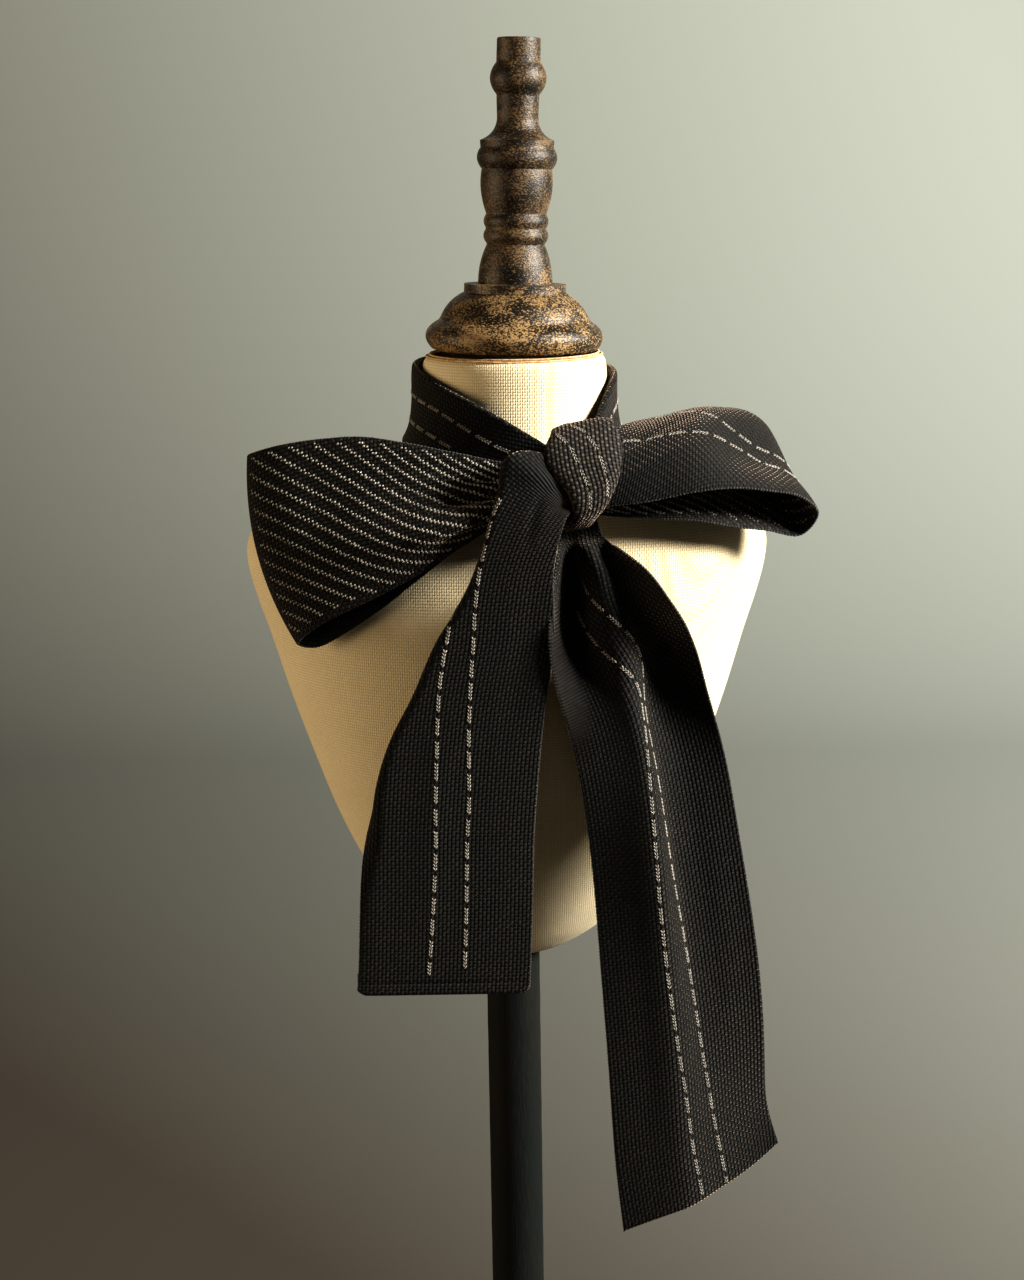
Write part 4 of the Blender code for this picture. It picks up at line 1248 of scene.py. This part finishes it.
# %% Wrap
# A row is its left edge, x, y and z, its right edge, x, y and z, and how far each edge is rolled in.
WRAP = (
    (17.0, -72.6, 448.5, 41.0, -70.6, 451.5, 1.4, 2.4),
    (14.8, -69.0, 456.0, 41.2, -66.0, 459.0, 1.8, 2.2),
    (17.0, -62.0, 461.0, 38.6, -58.5, 465.6, 1.6, 1.6),
    (18.0, -55.0, 461.5, 37.5, -52.5, 463.0, 1.0, 1.0),
    (18.5, -52.0, 455.5, 37.0, -50.8, 455.5, 0.6, 0.6),
    (18.5, -52.0, 446.0, 36.0, -51.4, 446.0, 0.3, 0.3),
    (19.0, -52.8, 436.5, 35.0, -52.4, 436.5, 0.3, 0.3),
    (19.5, -55.0, 429.5, 33.0, -54.6, 430.0, 0.6, 0.6),
    (20.0, -60.5, 424.6, 31.0, -60.0, 426.0, 1.0, 1.0),
    (22.0, -67.5, 427.0, 33.0, -66.0, 429.4, 1.2, 1.4),
    (24.8, -71.8, 432.0, 36.5, -69.6, 434.5, 1.2, 2.0),
    (23.0, -73.2, 439.5, 39.6, -71.0, 442.5, 1.2, 2.4),
)


def wrap_grid(steps, columns):
    """The ring of sections, each falling away at its two edges."""
    rows = ring_spline(WRAP, steps)
    left, right = rows[:, 0:3], rows[:, 3:6]
    middle = (left + right).mean(axis=0) / 2
    share = np.linspace(0, 1, columns)[None, :, None]
    points = left[:, None] + (right - left)[:, None] * share
    inward = unit((middle - points) * (0, 1, 1))
    roll = np.where(share < 0.5, rows[:, 6][:, None, None], rows[:, 7][:, None, None])
    return points + inward * roll * (2 * share - 1) ** 4


WRAP_STEPS, WRAP_PLACES = 12, 49
whole_wrap = wrap_grid(WRAP_STEPS, WRAP_PLACES)
half_way = len(whole_wrap) // 2  # the ring starts behind, so that its front is unbroken
wrap = measure_cloth(np.roll(whole_wrap, half_way, axis=0), (0.5, 0.5), (0, -1, 0), ring=True)
knit_wrap = shell_piece("knit_wrap", wrap, "knot_wrap")
knit_wrap.data.materials[0] = knit_painted_lit  # the knot's wrap wears a lighter copy of the knit: painted light
WRAP_LINES = (
    ((-19, 26.7), (-14, 26.7), (-7, 26.7), (0, 25.3), (8, 20.5), (14.4, 9), (20, 2)),
    ((-14, 54), (-10.6, 52), (-7, 50.7), (-1.5, 48), (5.8, 42.7), (13.6, 33.3), (18, 21), (26, 10)),
)
front = float(wrap["along"][half_way])
wrap_lines = [[(along + front, across) for along, across in line] for line in WRAP_LINES]
open_wrap = {**wrap, "ring": False}
wrap_parts = [
    lay_dashes("wrap_dashes", open_wrap, wrap_lines, 51, scale=0.9),
    lay_edges("wrap_edges", open_wrap, 53),
]

# %% [markdown]
# ## The hanging tails
# A tail is laid out section by section. Each section starts at one selvedge and walks across the
# strip in small steps, turning towards the viewer or away by its heading, as folded paper does. So
# the strip keeps its width however deep its pleats are.

# %% Laying out a section
TAIL_PLACES = 129
FINE_PLACES = np.linspace(0, TIE_WIDTH, 257)


def lay_section(row, headings, side, places):
    """Points of one section at these places across it. `side` is 1 towards +X, else -1."""
    x, y, z, climb, laid = row[:5]
    climb = math.radians(climb)
    step = laid / (len(headings) - 1)
    middle = np.radians((headings[1:] + headings[:-1]) / 2)
    across = np.concatenate([[0], np.cumsum(np.cos(middle))]) * step
    ahead = np.concatenate([[0], np.cumsum(np.sin(middle))]) * step
    across = np.interp(places, FINE_PLACES, across)
    ahead = np.interp(places, FINE_PLACES, ahead)
    return np.stack(
        [x + side * across * math.cos(climb), y - ahead, z + across * math.sin(climb)], axis=1
    )


print("a section is walked across in", len(FINE_PLACES) - 1, "steps")

# %% [markdown]
# ## The left tail
# The left tail rolls forward over the knot. Its far margin is folded under above, and the fold
# opens lower down until the strip hangs flat. Its end is hemmed: the cloth is turned up behind, and
# a shallow line shows the stitching in front.

# %% Left tail
# A row is x, y and z of the near selvedge, the climb across the section in degrees, the width laid,
# the curl of the near margin, and where the far margin folds and how far it turns.
LEFT_TAIL = (
    (26.5, -66.0, 435.0, 66.0, 29.0, 0, 34.0, 90),
    (22.5, -71.4, 433.0, 48.0, 38.0, 12, 44.0, 150),
    (20.4, -73.2, 429.5, 24.0, 42.0, 10, 35.0, 178),
    (18.2, -73.2, 422.0, 8.0, 48.0, 6, 30.5, 178),
    (16.4, -72.0, 411.0, 0.0, 53.0, 4, 30.3, 178),
    (16.4, -70.8, 397.0, 0.0, 58.0, 3, 35.0, 178),
    (16.2, -69.8, 384.0, 0.0, 61.0, 2, 41.2, 178),
    (13.4, -69.0, 365.0, 0.0, 62.8, 2, 45.6, 176),
    (11.3, -68.2, 347.0, 0.0, 63.8, 2, 51.8, 165),
    (9.6, -67.6, 329.0, 0.0, 64.0, 3, 54.8, 120),
    (8.1, -67.2, 309.0, 0.0, 64.0, 3, 54.3, 60),
    (7.3, -66.8, 284.0, 0.0, 64.0, 3, 57.5, 24),
    (6.3, -66.4, 260.0, 0.0, 64.2, 2, 57.3, 10),
    (5.7, -66.2, 248.2, 0.0, 64.6, 2, 55.0, 5),
)
NEAR_CURL = 20.0
FOLD_WIDTH = 9.0
HEM = 5.0
CORNER_FROM, CORNER_RUN = 29.0, 3.0  # from the middle of the strip
CORNER_RISE = 1.6  # how far the end's corners are rounded up


def left_tail_grid(sections):
    """The left tail, whose far margin folds under, with a hem turned up behind its end."""
    places = np.linspace(0, TIE_WIDTH, TAIL_PLACES)
    grid = []
    for row in spline(LEFT_TAIL, sections):
        near_turn, fold_at, fold_turn = row[5:8]
        near = near_turn * np.clip(1 - FINE_PLACES / NEAR_CURL, 0, 1)
        part = np.clip((FINE_PLACES - fold_at) / FOLD_WIDTH, 0, 1)
        fold = fold_turn * part * part * (3 - 2 * part)
        grid.append(lay_section(row, near - fold, -1, places))
    from_middle = abs(places / TIE_WIDTH - 0.5) * TIE_WIDTH
    corner = np.clip((from_middle - CORNER_FROM) / CORNER_RUN, 0, 1) ** 2 * CORNER_RISE
    for k in range(1, 4):
        grid[-k] = grid[-k] + corner[:, None] * np.array((0, 0, (4 - k) / 3))
    last = grid[-1]
    turn_up = CLOTH / 2 + 0.3
    for a in np.radians((22, 45, 68, 90, 112, 135, 158)):
        grid.append(last + (0, turn_up * (1 - math.cos(a)), -turn_up * math.sin(a)))
    for rise in np.linspace(0, HEM, 6):
        grid.append(last + (0, 2 * turn_up, rise))
    return np.array(grid)


LEFT_TAIL_CREASES = (
    (0.045, 0.25, 0.09, 0.75, -1.8, 6.0),  # the roll over the top
    (0.02, 0.03, 0.12, 0.12, 1.3, 3.0),
    (0.06, 0.30, 0.22, 0.22, 0.5, 3.0),
    (0.30, 0.12, 0.55, 0.20, 0.4, 6.0),
    (0.55, 0.55, 0.80, 0.60, -0.5, 7.0),
    (0.915, 0.02, 0.915, 0.98, 0.45, 1.1),  # the line of the hem
)
LEFT_TAIL_LINES = (
    ((26, 37), (44, 32.4), (65, 31.4), (84, 30.4), (104, 28), (143, 24.5), (178, 24.5), (213, 24.5)),
    ((66, 39.6), (76, 40.2), (84, 41), (96, 40.5), (123, 38), (162, 36.1), (187, 37), (213, 38)),
)
hung_left = crease(left_tail_grid(201), LEFT_TAIL_CREASES)
left_hang = measure_cloth(hung_left, (0.6, 0.4), (0, -1, 0))
left_tail = shell_piece("knit_left_tail", left_hang, "left_tail", rolled=[(5, 14, 18, 30)])
length = float(left_hang["along"][-1])
hem_line = length - 2 * HEM - 3.0
left_tail_parts = [
    lay_dashes("left_tail_dashes", left_hang, LEFT_TAIL_LINES, 61),
    lay_dots("left_tail_dots", left_hang, 1, 3.0, 61.5, 12, hem_line - 4, 62),
    lay_edges("left_tail_edges", left_hang, 63),
]
print("left tail strip", round(length), "mm with its hem")

# %% [markdown]
# ## The right tail
# The right tail comes out of the knot in deep pleats that open as it falls, and its cut end slants.
# The headings of each section are given at nine stations across the strip, and then evened out, so
# that the pleats stay soft.

# %% Right tail
# A row is x, y and z of the near selvedge, the climb across the section in degrees, the width laid
# and the heading in degrees at each station.
STATIONS = (0.0, 8.0, 16.0, 23.0, 27.0, 35.0, 40.0, 50.0, TIE_WIDTH)
RIGHT_TAIL = (
    (20.5, -50.9, 433.0, 4.0, 11.0, -6, -8, 0, 8, 8, 2, -8, 4, 8),
    (20.0, -52.6, 426.0, 4.0, 13.0, -12, -16, 0, 14, 12, 2, -12, 6, 12),
    (19.8, -58.5, 419.6, 5.0, 17.0, -30, -40, 0, 30, 28, 5, -30, 10, 32),
    (19.0, -65.5, 417.6, 6.0, 27.0, -56, -72, 0, 58, 56, 10, -56, 16, 66),
    (17.5, -68.0, 409.0, 9.0, 42.0, -54, -76, 0, 62, 58, 20, -50, 20, 66),
    (16.1, -70.0, 399.0, 13.0, 52.0, -48, -78, 0, 64, 56, 24, -40, 26, 58),
    (15.2, -71.5, 384.0, 17.0, 59.5, -42, -66, 24, 54, 40, 10, -50, 34, 50),
    (18.0, -70.5, 367.0, 20.0, 62.6, -22, -34, 14, 34, 20, -66, -66, 30, 46),
    (21.9, -69.5, 353.5, 18.0, 64.0, -6, -6, 10, 20, -60, -86, -50, 14, 36),
    (25.2, -68.5, 339.0, 14.0, 64.0, 2, 2, 8, 12, -70, -86, -40, 4, 20),
    (28.0, -68.0, 323.0, 11.0, 64.0, 6, 8, 12, 10, -66, -84, -30, 0, 8),
    (30.7, -67.8, 301.0, 9.0, 64.0, 8, 14, 18, 8, -60, -80, -24, -2, 2),
    (32.6, -67.6, 277.0, 9.0, 64.5, 8, 12, 16, 4, -54, -70, -20, -4, 0),
    (34.4, -67.6, 250.5, 9.0, 65.0, 8, 10, 10, 2, -44, -60, -18, -8, -2),
    (36.3, -67.8, 224.0, 9.0, 65.5, 6, 8, 8, 0, -36, -52, -22, -16, -10),
    (37.8, -68.2, 199.0, 10.0, 66.0, 6, 6, 6, 0, -30, -46, -30, -24, -16),
    (39.3, -68.8, 175.0, 16.0, 66.5, 6, 6, 4, 0, -24, -38, -30, -28, -22),
    (42.2, -69.5, 148.6, 25.5, 70.5, 6, 6, 4, 0, -20, -32, -24, -20, -12),
)
END_SAG = 3.3
END_SKEW = 2.2


def right_tail_grid(sections):
    """The right tail in its pleats. Its cut end is slanted and sags below a straight line."""
    places = np.linspace(0, TIE_WIDTH, TAIL_PLACES)
    grid = []
    for row in spline(RIGHT_TAIL, sections):
        headings = np.interp(FINE_PLACES, STATIONS, row[5:])
        soft = np.convolve(np.pad(headings, 8, mode="edge"), np.ones(17) / 17, mode="valid")
        grid.append(lay_section(row, soft, 1, places))
    grid = np.array(grid)
    sag = END_SAG * np.sin(math.pi * (places / TIE_WIDTH) ** END_SKEW)
    steps = len(RIGHT_TAIL) - 1
    near_end = np.clip(np.linspace(0, steps, sections) - (steps - 1), 0, 1)  # grows over the last step
    grid[:, :, 2] -= near_end[:, None] * sag
    return soften(grid, 13)


RIGHT_TAIL_CREASES = (
    (0.70, 0.25, 0.95, 0.20, -0.5, 7.0),
    (0.62, 0.85, 0.85, 0.80, 0.5, 6.0),
)
RIGHT_TAIL_LINES = (
    ((44, 17), (45.5, 18), (54.6, 21.5), (67, 28), (82, 31.2), (99.5, 26.2), (119, 24.5), (140, 24),
     (164, 23.5), (192, 24.2), (219, 25.6), (245, 28), (268, 29.6), (286, 31)),
    ((33, 21), (35.5, 24), (42, 31.4), (50.4, 36.5), (67, 39.4), (82, 36.2), (101, 32.2), (120.5, 31.8),
     (143, 32.5), (170, 35.2), (196, 36.5), (224, 37.6), (246, 39.5), (270, 41.5), (286, 42)),
)
hung_right = crease(right_tail_grid(241), RIGHT_TAIL_CREASES)
right_hang = measure_cloth(hung_right, (0.8, 0.4), (0, -1, 0))
right_tail = shell_piece("knit_right_tail", right_hang, "right_tail", rolled=[(62, 2, 44, 13)])
length = float(right_hang["along"][-1])
right_tail_parts = [
    lay_dashes("right_tail_dashes", right_hang, RIGHT_TAIL_LINES, 71),
    lay_dots("right_tail_dots", right_hang, -1, 3.0, 61.5, 12, length - 3, 72),
    lay_edges("right_tail_edges", right_hang, 73),
]
print("right tail strip", round(length), "mm")

# %% [markdown]
# ## Floor and backdrop
# A plain pale sheet runs along the floor and curves up behind, as in a photographer's studio. Its
# colour grows darker towards the viewer, the left and the floor by one even grade: painted shade,
# where the light from the right falls off.

# %% Floor and backdrop
BEND_START, BEND_RADIUS = 1.1, 0.6
SHEET_HALF_WIDTH = 3.0
SHEET_TOP = 2.6
GRADE_LOW, GRADE_HIGH = 0.04, 2.6
paper, tree, shader = new_material("studio_paper", 0.95)
where = node(tree, "ShaderNodeTexCoord")
spot = node(tree, "ShaderNodeSeparateXYZ", {0: where.outputs["Object"]})
depth = calc(tree, "MULTIPLY_ADD", spot.outputs["Y"], 0.94, spot.outputs["X"])
grade = calc(tree, "MULTIPLY_ADD", spot.outputs["Z"], 0.65, depth)
# Painted shade: the paper runs from pale to the deep colour as the light from the right would fall off.
pale, deep = (0.46, 0.50, 0.465, 1), (0.034, 0.026, 0.018, 1)
painted_light_grade = ramp(tree, grade, GRADE_LOW, GRADE_HIGH)
plug(tree, mix_colours(tree, painted_light_grade, deep, pale), shader.inputs["Base Color"])
profile = [(-1.6, 0.0), (BEND_START, 0.0)]
for a in np.linspace(0.1, math.pi / 2, 16):
    profile.append((BEND_START + BEND_RADIUS * math.sin(a), BEND_RADIUS * (1 - math.cos(a))))
profile.append((BEND_START + BEND_RADIUS, SHEET_TOP))
corners = [(x, y, z) for y, z in profile for x in (-SHEET_HALF_WIDTH, SHEET_HALF_WIDTH)]
quads = [(2 * k, 2 * k + 1, 2 * k + 3, 2 * k + 2) for k in range(len(profile) - 1)]
backdrop_mesh = bpy.data.meshes.new("backdrop")
backdrop_mesh.from_pydata(corners, [], quads)
backdrop_mesh.shade_smooth()
backdrop_mesh.materials.append(paper)
backdrop = bpy.data.objects.new("backdrop", backdrop_mesh)
bpy.context.scene.collection.objects.link(backdrop)
print("backdrop:", len(quads), "quads")

# %% [markdown]
# ## Light
# The strong light comes from the far right and is small, so the right of the canvas is almost white
# and the folds throw dark shadows to the left. A weak, wide, warm light fills the left. The view is
# given a little more contrast, because the photograph has very deep blacks beside bright canvas.


# %% Lights
BOW_HEIGHT = 0.42


def add_light(name, position, size, watts, colour):
    """A square soft light that looks at the bow."""
    light_data = bpy.data.lights.new(name, "AREA")
    light_data.size = size
    light_data.energy = watts
    light_data.color = colour
    light = bpy.data.objects.new(name, light_data)
    bpy.context.scene.collection.objects.link(light)
    light.location = position
    aim = Matrix.Translation((0, 0, BOW_HEIGHT)).translation - light.location
    light.rotation_euler = aim.to_track_quat("-Z", "Y").to_euler()
    return light


add_light("key_light", (1.45, -0.42, 1.10), 0.40, 93.0, (1.0, 0.96, 0.88))
add_light("warm_fill", (-1.6, -0.40, 0.4), 1.2, 20.0, (1.0, 0.80, 0.54))
world = bpy.data.worlds.new("studio")
bpy.context.scene.world = world
world.use_nodes = True
world.node_tree.nodes["Background"].inputs[0].default_value = (0.80, 0.86, 0.84, 1)
world.node_tree.nodes["Background"].inputs[1].default_value = 0.03
bpy.context.scene.view_settings.view_transform = "Standard"
bpy.context.scene.view_settings.look = "Medium High Contrast"
